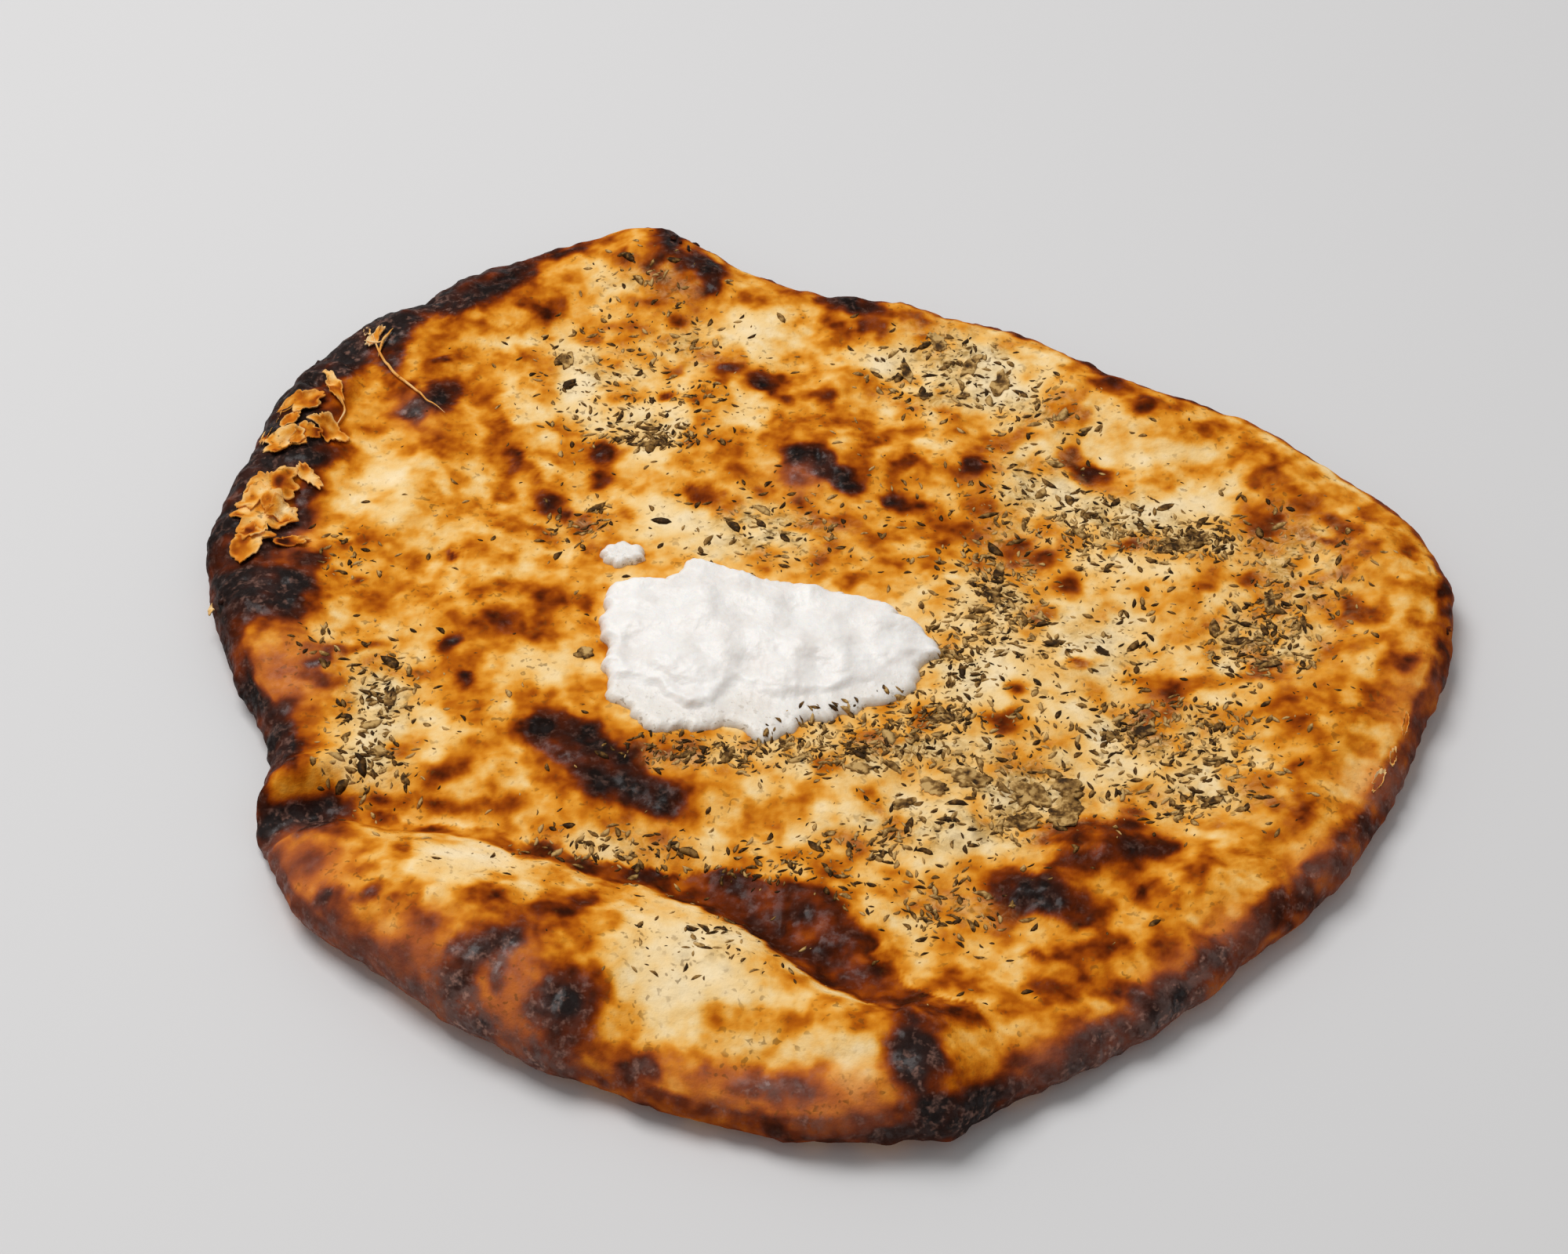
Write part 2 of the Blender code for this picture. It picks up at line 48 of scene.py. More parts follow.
# The form of the bread, as in the solids.
MEAN_REACH = 116.0
RIM_SWELLS = (  # bearing from +X in degrees, reach in mm, spread in degrees
    (4, 9.5, 16), (22, -2, 6), (48, -18.5, 19), (75, -14.5, 17), (91, -7.5, 9), (108.5, 8.5, 6),
    (121, 15, 12), (144, 18, 15), (168, 10.5, 13), (197, -4.5, 7), (206, 2, 2.5), (216, 6, 10),
    (238, 3.5, 14), (262, 5, 14), (277, 7, 11), (312, -3, 12),
)
CRUMB = 9.0
SMEAR_BED = 9.5
RIM_INSET = 13.0
RIM_BREADTH = 10.0
RIM_RISES = (  # bearing, height over the crumb, spread
    (10, 3.5, 40), (60, 1.5, 20), (106, 2.5, 10), (140, 3, 24), (180, 2, 16), (232, 4, 18), (277, 3.5, 10),
    (315, 2.5, 18),
)
WALL_RUN = 7.0
WALL_RUNS = ((235.0, 5.0, 24.0), (277.0, 3.0, 12.0), (150.0, 1.5, 25.0))
WIDEST_SHARE = 0.42
FOOT_INSET = 6.5
FOOT_LIFT = 0.4
FOOT_LIFTS = ((205.0, 2.2, 9.0), (128.0, 1.6, 20.0), (20.0, 1.2, 24.0), (335.0, 1.0, 14.0))
REST_INSET = 22.0
# Pillows and burnt blisters: x, y, height, half length, half width and turn in degrees. A row that
# ends without a turn, here and in the tables below, has none.
PUFFS = (
    (-30, -92, 5.5, 40, 15, -14), (-72, -72, 3.5, 24, 12, -32), (2, -108, 3, 16, 10, -8),
    (16, -108, 2.4, 6.5, 9, -12), (-45, -38, 2.2, 17, 8, -32), (0, 44, 2.4, 10, 8, -35),
    (52, -62, 2.4, 13, 6, 12), (39, -73, 2.2, 9, 6), (-64, -3, 1.2, 12, 6, -12), (-84, 62, 2, 7, 12, 20),
    (31, 43, 1.2, 7, 5), (-36, 112, 2, 9, 10), (-101, -45.5, 3.6, 10, 4, 28), (90, -24, 1.4, 10, 14, -20),
    (66, 58, 1.4, 7, 12, 10), (-60, 30, -1.2, 14, 22, 20), (55, 5, -1, 26, 34), (30, -46, -0.8, 20, 12),
    (-85, -30, -1, 10, 18), (-52, -98, 1.6, 5, 9, 12), (-66, -94, 1.4, 4.5, 8, 24), (-104, -36, 1.2, 4, 9),
)
PEELED_CRUST = (  # x, y, height, half length, half width, turn: scales of crust that stand up at the rim
    (-117, 27, 1.6, 12.5, 6.5, 82), (-111, 55, 1.6, 10.5, 7.5, 40), (-103, 68, 1.4, 6, 3, -60),
)
CREASE = (
    (-110, -55), (-92, -52), (-66, -56), (-48, -64), (-31, -69), (-20, -73.5), (-12, -80), (-5, -88),
    (2, -94.5), (12, -99.5), (24, -102),
)
CREASE_DEPTHS = (7.5, 6.0, 2.2, 2.4, 3.2, 4.0, 4.8, 4.6, 3.8, 2.4, 0.0)
CREASE_BACK = 7.0
CREASE_FRONT = 4.0
FLAP = ((-50.0, 31.0), (-40.0, 22.0), (-33.0, 13.0))
FLAP_HEIGHT = 1.2
FLAP_BREADTH = 2.6
WAVES = ((0.7, 44.0, 5), (0.4, 23.0, 8))

# The form of the butter, as in the solids.
SMEAR_X, SMEAR_Y = -13.0, -12.0
SMEAR_EDGE = (  # bearing from its middle and reach
    (5, 34.2), (13.2, 29.4), (25, 26.8), (47, 19.4), (62, 19), (83, 18), (103, 20.2), (112.5, 23.8),
    (120.5, 26.8), (139, 26), (152, 34.4), (180, 30), (204, 31.5), (219, 29.6), (228, 29.8), (235, 25.5),
    (253, 21.4), (263.6, 22.3), (272, 25), (277.8, 23.6), (294, 21.2), (304.6, 22.7), (323.7, 25.7),
    (335.6, 30.7), (352, 31.6), (357.5, 36),
)
SMEAR_LIP = (
    (-50, -10), (-40, -19), (-33, -24.5), (-27, -28.5), (-22, -27.5), (-17, -22.7), (-13.5, -23),
    (-6.5, -27.5), (-2, -26.3), (4, -23), (10, -22), (22, -13),
)
THIN_SKIRT = 1.2
LIP_BULGE = 0.3
SMEAR_MASS = 2.4
SMEAR_HILLS = (
    (-24, -2, 1.5, 9, 7), (-10, -10, 0.8, 12, 5, -20), (-26, -17, 1, 8, 5, 10), (-5, -17, 0.7, 7, 4),
    (-36, -8, -0.6, 6, 9),
)
SMEAR_WAVES = ((0.35, 11.0, 3), (0.2, 7.0, 4))
SMEAR_RUN = 2.6
DAB_X, DAB_Y = -40.5, 14.5
DAB_LONG, DAB_WIDE = 4.6, 3.4
DAB_MASS = 1.5
DAB_RUN = 1.8
GAP = 0.35
SUNK = 0.25
BEDS = ((SMEAR_X, SMEAR_Y, 42.0, 31.0), (DAB_X, DAB_Y, 9.0, 8.0))
BED_BLEND = 1.4

# Drifts of herb: x, y, half length, half width and how many big flecks, as in the solids.
HERB_DRIFTS = (
    (29, 78, 9, 8, 7), (24, 66, 8, 4, 3), (46, 61, 7, 5, 4), (58, 26, 9, 5, 6), (72, 20, 7, 3, 4),
    (44, 38, 7, 7, 4), (37, 16, 4, 9, 4), (34, 1, 5, 6, 4), (95, 14, 7, 10, 5), (86, -8, 8, 6, 6),
    (-38, 53, 7, 3, 4), (-50, 74, 6, 8, 3), (-30, 82, 8, 6, 3), (-36, 104, 8, 5, 3), (-49, 25, 4, 4, 3),
    (-12, 23, 9, 6, 6), (-86, -25, 5, 7, 4), (-85, -41, 5, 4, 3), (-96, -12, 6, 3, 2),
    (-22, -39, 12, 2.5, 4), (12, -38, 10, 4, 6), (36, -48, 9, 7, 7), (20, -58, 14, 4, 4),
    (63, -34, 9, 5, 5), (70, -50, 9, 4, 4), (26, -16, 3, 8, 3), (24, -76, 7, 4, 3), (-20, -87, 7, 5, 2),
    (-38, -62, 10, 3, 2), (52, -10, 8, 8, 3),
)
HERB_SEED = 11
HERB_APART = 3.4
HERB_CLEAR_OF_BUTTER = 4.0
HERB_INSET = 14.0
HERB_LENGTHS = (3.0, 5.2)
HERB_SUNK = 0.35
SMALL_HERBS_A_BIG_ONE = 26
STRAY_HERBS = 480
STRAY_REACH = 104.0
SMALL_HERB_LENGTHS = (0.6, 2.7)
SMALL_HERB_INSET = 9.0
SMALL_HERB_HEIGHT_SHARE = 0.16
SKIRT_HERBS = 4.5

# Drifts of small flecks beside the big ones: x, y, half length, half width and how many.
FINE_DRIFTS = (
    (-27, -38, 5, 2, 130), (-5, -38, 8, 2.6, 190), (10, -34, 8, 3.4, 240), (21, -29, 4, 2.4, 120),
    (25, -14, 3, 5, 140), (33, 2, 4, 9, 240), (60, -32, 5, 4, 190), (76, -33, 5, 3, 100),
    (68, -44, 7, 4, 140), (65, -53, 3, 2, 50), (85, -10, 5, 5, 150), (88, 3, 2, 4, 60), (73, 20, 5, 3, 140),
    (54, 20, 4, 5, 120), (-35, 51, 6, 1.4, 120), (-30, 63, 7, 3, 90), (-97, 16, 4, 4, 60),
    (-86, -23, 2.5, 5, 80), (-88, -38, 4, 5, 80), (-15, -69, 9, 3, 160), (-38, -62, 10, 3, 130),
    (-5, -75, 7, 4, 80), (5, -63, 8, 4, 100), (22, -77, 5, 3, 70), (-22, -88, 5, 4, 26),
    (40, -30, 14, 12, 130), (30, 30, 16, 14, 150), (60, 0, 18, 14, 160), (-40, 66, 12, 14, 130),
)

# Flat crumpled leaves: x, y, half length, half width, turn and tone (0 dark, 1 pale).
LEAVES = (
    (27, -45, 4, 3, 10, 0.6), (38, -48, 5, 3.6, -20, 0.7), (44, -53, 4, 4.6, 0, 0.6),
    (36, -55, 4, 2.6, 30, 0.5), (45, -46, 3, 2.2, 0, 0.4), (20, -47, 3.4, 2.2, -30, 0.6),
    (14, -51, 3, 1.8, 20, 0.5), (6, -43, 3, 1.6, 0, 0.5), (73, 18, 4, 2, 10, 0.3),
    (76, 20, 2.6, 1.8, 60, 0.2), (69, 17, 3, 1.3, 0, 0.5), (-84, -24, 1.4, 3, 10, 0.4),
    (-36, 49, 5, 1, 0, 0.2), (22, -30, 3, 1.6, 0, 0.1), (86, -15, 3.6, 1.2, -10, 0.1),
    (88, 2, 1.2, 4, -12, 0.3), (71.5, -51.5, 2.8, 1.3, 25, 0), (94, -5, 0.7, 3, 0, 0.1),
    (-47, -13, 2, 1.8, 0, 0.4), (81, -8, 3.2, 1.1, 0, 0.1), (22, 64, 1.8, 1.1, 20, 0.1),
    (30, 64, 1.6, 1.1, 0, 0.2), (32, 74, 2, 4.6, -30, 0.7), (18, 73, 1.3, 5, 10, 0.6),
    (38, 68, 2.4, 3.6, 0, 0.8), (25, 82, 1.8, 3.6, 30, 0.8), (-55, 77, 1.6, 3.2, 0, 0.6),
    (-85, -38, 2, 1.6, 0, 0.4), (33, 4, 1.6, 3, 20, 0.3), (35, 12, 1.5, 3, -10, 0.2),
    (60, -33, 3, 1.8, 20, 0.1), (54, -11, 2, 1.1, -40, 0.1),
)
LEAF_CELLS = 10

# How far the burns and pale places below were read at: the level of the crust, looked at from in front
# at the camera's own place. A mark on a raised or sunk place lies where that line of sight meets it.
CAMERA = np.array([-8.2, -429.1, 433.2])
CAMERA_ELEVATION = 45.0
CAMERA_LENS = 70.0
READ_LEVEL = 9.0

# Burns: x, y, how dark (0 raw dough, 1 black), half length, half width and turn.
BURNS = (
    (-98.5, -54.3, 1, 11, 4.4, 12), (-104, -57, 0.97, 3, 3.5), (-97, -65, 0.72, 6.5, 5.5),
    (-102, -66, 0.76, 2.5, 5, 10), (-78.5, -63, 0.64, 5, 1.6, 58), (-90.4, -74, 0.9, 3, 2.6),
    (-82.3, -72.8, 0.88, 3.6, 1.8, 28), (-88.6, -78.6, 0.8, 2.6, 3.4, 20), (-86, -83, 0.76, 3.5, 3, -30),
    (-91, -80, 0.86, 2, 4, 30), (-73.3, -82, 0.7, 4.5, 9, 15), (-75, -88.5, 0.77, 4, 5, 20),
    (-71.5, -93, 0.76, 4, 5, 30), (-61.6, -74, 0.74, 5, 2.6), (-46.3, -75, 0.85, 5.5, 3, -5),
    (-54.4, -77.5, 0.77, 6, 3), (-60.3, -84, 0.95, 8.6, 4.8, 28), (-66.5, -95, 0.88, 4.4, 7, 20),
    (-60.7, -103.5, 0.9, 5.5, 5, -30), (-58, -91, 0.8, 2.2, 6.5, 8), (-45.5, -99, 0.96, 7.4, 9.6, 6),
    (-49, -109.5, 0.86, 7, 3.4, -25), (-41.5, -114.5, 0.9, 6, 2.6, -18), (-33.7, -112.6, 0.88, 3.6, 3.4),
    (-10, -116, 0.78, 11, 4, -10), (-10, -102, 0.56, 5, 2.6), (-18, -101, 0.52, 4, 3),
    (14.5, -109.5, 1, 5.5, 9.5, 3), (16, -101.5, 0.88, 4.5, 2.4), (18, -121, 0.98, 4, 4),
    (25, -118.5, 1, 6, 3, 12), (32, -115.5, 0.96, 5, 3, 15), (33, -111, 0.76, 8, 4, 18),
    (45, -107, 0.92, 8, 4.4, 30), (56, -100, 0.94, 9, 4.6, 38), (62, -96, 0.9, 4, 5, 40),
    (68.5, -88, 0.89, 6, 2.8, 60), (84, -75, 0.82, 6.5, 3, 50), (90, -66.5, 0.82, 3.5, 2.4, 40),
    (93, -60.5, 0.84, 2.4, 2.2, 40), (99, -57, 0.85, 6.5, 3.2, 52), (104.5, -48, 0.8, 3, 2.6, 50),
    (109.5, -38, 0.64, 1.6, 7, -20), (39, -73.5, 0.98, 9, 5.4, -8), (33, -71, 0.86, 5, 4),
    (45, -78, 0.84, 5, 3), (47, -66, 0.84, 9, 4, 10), (57, -62.5, 0.91, 7.5, 3.8),
    (52, -57.5, 0.8, 8, 3.2, 8), (44, -58.5, 0.78, 5, 2.4), (56, -72, 0.7, 3, 1.4, 30),
    (38.5, -95, 0.77, 7, 3.6, 8), (36.5, -87.5, 0.86, 2, 1.4), (29, -101, 0.66, 7, 2.6, 10),
    (50, -84, 0.66, 6, 4), (60, -84, 0.62, 4, 5), (52, -96, 0.7, 3, 3), (80, -51, 0.62, 4, 3),
    (62, -31, 0.72, 4, 4), (34, -30, 0.72, 4, 3.2), (37, -21, 0.74, 1.8, 1.6), (50, -14, 0.74, 2.6, 1.6),
    (-115, 6, 1, 8, 8.5), (-107, 5, 1, 5, 9), (-115, -9, 0.86, 2.6, 5, 25), (-113, -15, 0.94, 2, 2.6),
    (-103.5, -34, 0.96, 3.6, 9.5, 6), (-107, -52, 0.86, 1.6, 2), (-99, -13.5, 0.92, 3.5, 1.8, 35),
    (-93, -10.6, 0.87, 5, 1.4, 8), (-100, -16.5, 0.78, 3, 1.6, 30), (-73.5, -8.5, 0.98, 2.4, 2.2),
    (-62, -4, 0.77, 10, 5.6, -6), (-57, 1, 0.8, 3.4, 3), (-69.5, -19, 0.94, 2, 1.3, 20),
    (-86, 7, 0.6, 4, 2, -10), (-50, -34.5, 0.99, 10, 6.5, -45), (-40, -43.5, 0.97, 11, 6.8, -42),
    (-31.5, -50, 0.92, 6.5, 5, -30), (-72, -44, 0.66, 6, 2.6, 30), (-84, -50.5, 0.74, 6, 1.6),
    (-68, -52, 0.62, 14, 1.6, -3), (-76, 15, 0.98, 1.7, 1.9, 20), (-98, 18.5, 0.84, 2.6, 2),
    (-93, 9.5, 0.84, 2.4, 1.5, 20), (-68, 107, 1, 7, 4, 48), (-80, 98, 1, 12, 5, 24),
    (-95, 86, 1, 9, 5, 50), (-92, 76, 0.92, 2.6, 6), (-103, 74, 1, 9, 5, 55), (-110, 55, 0.98, 8, 11),
    (-105, 46, 0.97, 5, 3.4, 10), (-107, 31, 0.93, 2.6, 11, -8), (-117, 28, 0.92, 5, 14),
    (-104, 13, 0.9, 3, 5), (-81, 65, 0.96, 4.6, 6), (-86, 59, 0.92, 3.4, 4.6), (-83, 61, 0.68, 9, 11),
    (-81.5, 77, 0.92, 2.4, 1.8), (-59, 94, 0.78, 3, 7, -15), (-68, 97, 0.6, 6, 5),
    (-66, 77, 0.56, 4, 3, -20), (-93, 56, 0.62, 2.6, 3.4), (-64, 43, 0.84, 2.2, 5.2, 15),
    (-60, 38, 0.8, 2.2, 5, 18), (-57, 31, 0.94, 3.2, 3.4, 15), (-53, 28, 0.8, 2, 3, 20),
    (-46, 46, 0.81, 3.2, 4.6), (-45, 38, 0.79, 3.6, 3.2), (-70, 58, 0.62, 3, 9, 15),
    (-38, 112, 0.74, 3, 8, 12), (-44, 113, 0.68, 3, 6, 15), (-27, 109, 0.98, 4, 7, 40),
    (-34, 119, 0.99, 3.4, 4.5), (-25, 103, 0.9, 3, 4), (-56, 114.5, 0.9, 9, 1.6, 22), (-38, 92, 0.62, 5, 6),
    (-31, 89, 0.66, 3.6, 3.4), (-20, 74, 0.88, 4, 2.8, -15), (-12, 70.5, 0.88, 5.5, 3, -25),
    (-8.5, 65, 0.8, 2.4, 3), (1, 65, 0.82, 3, 3.6, -30), (-33, 65, 0.88, 2, 1.5), (-43, 65, 0.72, 2.6, 1.8),
    (-24.5, 33.5, 0.82, 4.8, 3.4, -28), (-2.5, 44.5, 1, 8, 4.4, -38), (4, 38.5, 0.99, 5.5, 3.8, -50),
    (-5, 39, 0.78, 4, 4, -40), (6, 95.5, 0.95, 11, 2.8, -18), (12, 88, 0.86, 3.4, 4.5),
    (31, 42.5, 0.91, 3.8, 3), (25, 43, 0.68, 4, 2), (17, 43.5, 0.78, 3.6, 2.2),
    (14, 32, 0.91, 3.8, 1.9, -15), (20.5, 31, 0.82, 1.8, 1.6), (55.5, 39.5, 0.82, 4.4, 2.6, -40),
    (52, 44, 0.68, 3, 3, -40), (70, 60, 0.74, 6, 4.4, -20), (62, 69, 0.78, 6, 2.4, -25),
    (80, 54, 0.62, 7, 3, -25), (73.5, 38.5, 0.56, 5, 2.4, 20), (90, 27, 0.76, 3.2, 6, -8),
    (88.5, 44, 0.58, 2.4, 14, -3), (101, 20, 0.78, 3.4, 1.2, -25), (106, 24, 0.6, 6, 2, -30),
    (104, 0, 0.62, 6, 6, 30), (112, -14, 0.7, 4, 4), (108, -24, 0.66, 6, 5), (90, -26, 0.73, 5, 6, -30),
    (64, -22, 0.72, 5.5, 4), (86, -17, 0.63, 4, 3), (122.5, -2, 0.92, 1.6, 3), (38, 16.5, 0.82, 4, 4.6),
    (45, 14.5, 0.72, 4, 4), (62, 19, 0.76, 3.4, 1.8, 10), (48, 8, 0.64, 3, 3), (84, 8, 0.62, 3, 2, 30),
    (75, 7, 0.6, 3, 2), (13, 12, 0.66, 5, 2.6), (27, 22, 0.66, 4, 3.4, -30), (27, -126, 1, 8, 3.4, 10),
    (11, -126, 1, 9, 3.6, 2), (23, -124, 1, 9, 4, 12), (42, -119, 0.94, 9, 4, 22),
    (58, -110, 0.94, 10, 4.4, 36), (74, -97, 0.89, 9, 4.4, 46), (90, -80, 0.88, 9, 4, 48),
    (105, -61, 0.85, 9, 3.4, 56), (-82, -95, 0.84, 10, 4, -42), (-62, -109, 0.86, 10, 4, -30),
    (-20, -124, 0.8, 12, 3, -8),
)

# Crust without marks: its bake, how much slow patches and spots change it, and its least and most. The
# halo round a burn has this share of its level, and crust is rough between these two levels.
BASE_BAKE = 0.378
PATCHES = 0.17
PATCH_SIZE = 12.0
PATCH_STRETCH = (1.0, 0.8, 0.6)
DARK_SPOTS = 0.16
PALE_SPOTS = 0.1
PLAIN_BAKES = (0.04, 0.68)
HALO = 0.66
BURNT = (0.62, 0.9)

# Soft shifts of the bake: x, y, change, half length, half width and turn. Pale places are negative.
SHIFTS = (
    (-88, -33, -0.22, 6, 12), (-70, -27, -0.12, 8, 10), (-53, -16, -0.3, 8, 8), (-60, -39, -0.12, 5, 5),
    (-70.6, -67.8, -0.38, 7, 5), (-59, -65, -0.28, 10, 3.6, -8), (-85.5, -65, 0.04, 5, 6),
    (-67, -77.5, -0.1, 6, 3), (-82.5, -80, -0.06, 5, 5), (-55, -46, -0.2, 5, 3, -30),
    (-27, -86, -0.38, 12, 10, -30), (-35, -97, -0.32, 6, 8), (-20, -96, -0.24, 10, 6, -20),
    (-31, -105, 0.04, 6, 5), (-45.5, -86, 0.08, 6, 6), (-26, -112, 0.1, 6, 4), (-10, -59, -0.06, 14, 5),
    (-20, -44, -0.2, 8, 5), (88, -38, 0.07, 8, 7), (7, -49, 0.15, 8, 6), (12, 56, 0.06, 12, 5),
    (-104, -14, 0.12, 5, 6), (-96, -21, 0.1, 5, 4), (-12, -108, -0.07, 16, 6, -10), (6, -119, 0.14, 7, 4),
    (30, -20, -0.26, 14, 12), (25, -63, -0.22, 12, 5, 5), (20, -50, -0.14, 20, 10), (24, -76, -0.22, 7, 5),
    (13, -87, -0.08, 5, 4), (51, -11, -0.3, 12, 10), (53, -40, -0.16, 9, 9), (73, -38, -0.14, 6, 9),
    (4.5, -109, -0.38, 3.6, 5), (20, -93, 0.1, 18, 6), (70, -68, 0.13, 10, 6, 15),
    (74, -78, -0.05, 7, 5, 45), (86, -54, 0.15, 10, 8), (46, -88, 0.1, 9, 5), (95, -42, 0.07, 10, 10),
    (66, -86, 0.1, 9, 6, 35), (106, -24, 0.03, 7, 10, -10), (-91, 42, -0.36, 8, 9), (-99, 58, -0.12, 4, 6),
    (-54, 72, -0.32, 4.6, 13, 12), (-50, 60, -0.2, 4, 8, 20), (-37, 60, -0.26, 8, 6),
    (-36, 48, -0.24, 6, 6), (-32, 29, -0.24, 7, 9, 40), (-20, 21, -0.2, 12, 6), (-50, 92, -0.14, 6, 4),
    (-43, 105, -0.16, 5, 10, 20), (-17, 90, -0.2, 9, 7), (0, 88, 0.06, 6, 5), (-16, 58, -0.12, 6, 4),
    (-92, 64, -0.12, 4, 5), (-73, 42, -0.1, 5, 8, 20), (-70, 30, 0.1, 8, 7), (-89, 4, 0.06, 6, 6),
    (-85, 26, -0.14, 9, 6), (-70, 12, -0.14, 12, 4, -12), (-78, 86, 0.04, 8, 6),
    (-67, 70, -0.12, 7, 13, 12), (-60, 22, 0.08, 8, 4, -20), (-10, 98, 0.06, 12, 4),
    (62, 60, -0.2, 5, 8, 5), (72, 46, -0.24, 12, 4, 8), (89, 50, 0.14, 8, 6), (50, 35, -0.26, 10, 7),
    (76, 30, -0.31, 8, 8), (30, 75, -0.22, 12, 11), (14, 78, -0.26, 6, 7), (40, 66, -0.2, 10, 7),
    (62, 27, -0.22, 8, 5), (58, 8, -0.16, 12, 10), (-66, 93, 0.16, 9, 6, 20), (85, 12, -0.12, 8, 8),
    (95, 14, -0.1, 4, 9, -20), (110, 4, 0.03, 5, 11), (106, 30, 0.04, 5, 9, 20), (14, 6, 0.04, 9, 6),
    (30, 5, -0.14, 8, 5, -6), (8, 55, 0.08, 12, 5), (18, 28, 0.06, 14, 8), (94, 40, 0.08, 5, 12, 15),
    (78, 56, 0.12, 11, 4, -20), (0, 80, -0.06, 10, 5), (97, 32, 0.05, 8, 6, -20), (114, 18, 0.09, 5, 9, 20),
    (114, -5, 0.12, 5, 10), (-86, -67, 0.13, 8, 6), (0, 96, 0.08, 7, 5), (-64, 50, -0.12, 7, 7),
    (-48, 50, -0.05, 7, 7), (48, 49, -0.1, 8, 7), (0, 30, 0.06, 8, 6), (98, 30, -0.07, 8, 9),
    (-72, 16, 0.06, 14, 8), (64, 15, -0.11, 9, 7), (-80, 0, 0.09, 8, 7), (64, 0, 0.05, 8, 7),
    (-98, -16, 0.06, 7, 7), (-78, -16, -0.05, 7, 7), (34, -16, -0.05, 8, 7), (64, -17, 0.08, 8, 7),
    (33, -33, -0.06, 8, 7), (48, -33, -0.1, 9, 7), (80, -32, -0.05, 8, 8), (105, -20, -0.07, 7, 12),
    (0, -48, -0.05, 8, 7), (-56, -64, -0.05, 14, 7), (0, -66, 0.07, 8, 6), (-14, -80, -0.05, 8, 7),
    (48, -80, 0.04, 8, 8), (0, -98, -0.05, 8, 7), (2, -112, 0.06, 8, 6), (-62, -48, 0.05, 9, 6),
    (12, 48, 0.05, 8, 6), (-80, 80, -0.05, 7, 7),
)
SHIFT_STRENGTH = 1.2

# Scorch behind the fold: how far it reaches back from each point of the crease. Scorch round the rim.
CREASE_SCORCH = (2.0, 2.0, 1.4, 2.0, 3.0, 8.0, 14.0, 14.0, 10.0, 5.0, 1.0)
CREASE_SCORCH_LEVELS = (0.7, 0.7, 0.62, 0.74, 0.8, 0.85, 0.87, 0.86, 0.83, 0.8, 0.7)
RIM_SCORCHES = (  # bearing, breadth of the scorched edge, spread
    (123, 3, 4), (131, 8, 7), (143, 6.5, 7), (158, 10, 8), (170, 12, 7), (182, 5, 5), (200, 3, 7),
    (300, 2.4, 10), (318, 2.2, 12), (345, 1.2, 20), (20, 1.5, 35), (75, 1.8, 35),
)
RIM_SCORCH_BREADTH = 1.4
RIM_BLACKS = ((150.0, 0.22, 34.0), (196.0, 0.12, 12.0), (290.0, 0.1, 8.0))
RIM_SCORCH_LEVEL = 0.78

# Ash on char and painted sheen of light on greasy crust: x, y, strength, half length, half width and turn.
ASH_AND_SHEEN_PLACES = (
    (-110, 6, 0.9, 10, 10), (-103, -34, 0.7, 5, 11, 4), (-99, -55, 1, 12, 6, 14), (-118, 30, 0.8, 5, 14),
    (-60, -85, 0.9, 6, 5, 28), (-66, -96, 1, 6, 10, 18), (-46, -102, 1, 8, 13), (-84, 60, 0.4, 5, 6),
    (14.5, -110, 1, 7, 11), (56, -102, 1, 22, 6, 38), (68.5, -88, 1, 7, 4, 60), (84, -73, 1, 9, 5, 45),
    (98, -57, 1, 10, 5, 50), (108, -42, 0.7, 10, 3, 65), (58, -110, 1, 24, 5, 36), (92, -79, 1, 18, 5, 50),
    (-82, -92, 1, 12, 5, -42), (-60, -108, 1, 14, 5, -30), (-57, -96, 1, 5, 9), (-12, -120, 0.8, 16, 4, -8),
    (-34, -113, 1, 5, 4), (-9, -118, 0.5, 14, 4, -8), (39, -74, 0.35, 7, 4), (-40, -44, 0.25, 13, 6, -42),
    (-8, -75, 0.3, 9, 6, -20), (3, 38, 0.2, 6, 3, -50), (-84, 94, 0.9, 15, 6, 25),
    (-104, 70, 0.9, 8, 10, 55), (-112, 50, 0.8, 6, 10), (24, -122, 0.9, 14, 5, 10),
    (-31, 116, 0.7, 6, 7, 40), (-98, 82, 0.9, 8, 6, 45),
)

# Reddish places, where the crust browned against the wall of the oven, with a painted sheen over them.
BLUSH_AND_SHEEN_PLACES = (
    (-105, -17, 0.8, 7, 10), (-98, -66, 1, 9, 8, -40), (-75, -89, 1, 8, 11), (-57, -97, 1, 6, 12),
    (-15, -117, 0.9, 20, 5, -12), (2, -118, 1, 8, 6), (40, -111, 1, 9, 5, 20), (50, -107, 0.8, 12, 6, 35),
    (66, -104, 1, 20, 5, 42), (96, -75, 1, 16, 5, 50), (-80, -93, 1, 14, 6, -42),
    (-58, -108, 1, 14, 6, -30), (73, -82, 1, 6, 5, 45), (62, -92, 0.6, 8, 5, 45), (90, -66, 0.7, 8, 5, 45),
    (104, -47, 1, 6, 6, 40), (113, -25, 0.5, 5, 14, -15), (-108, 22, 0.7, 4, 6), (-92, -78, 0.8, 6, 8, 20),
    (-5, 39, 0.8, 5, 5, -40), (-86, 59, 0.8, 4, 5),
)

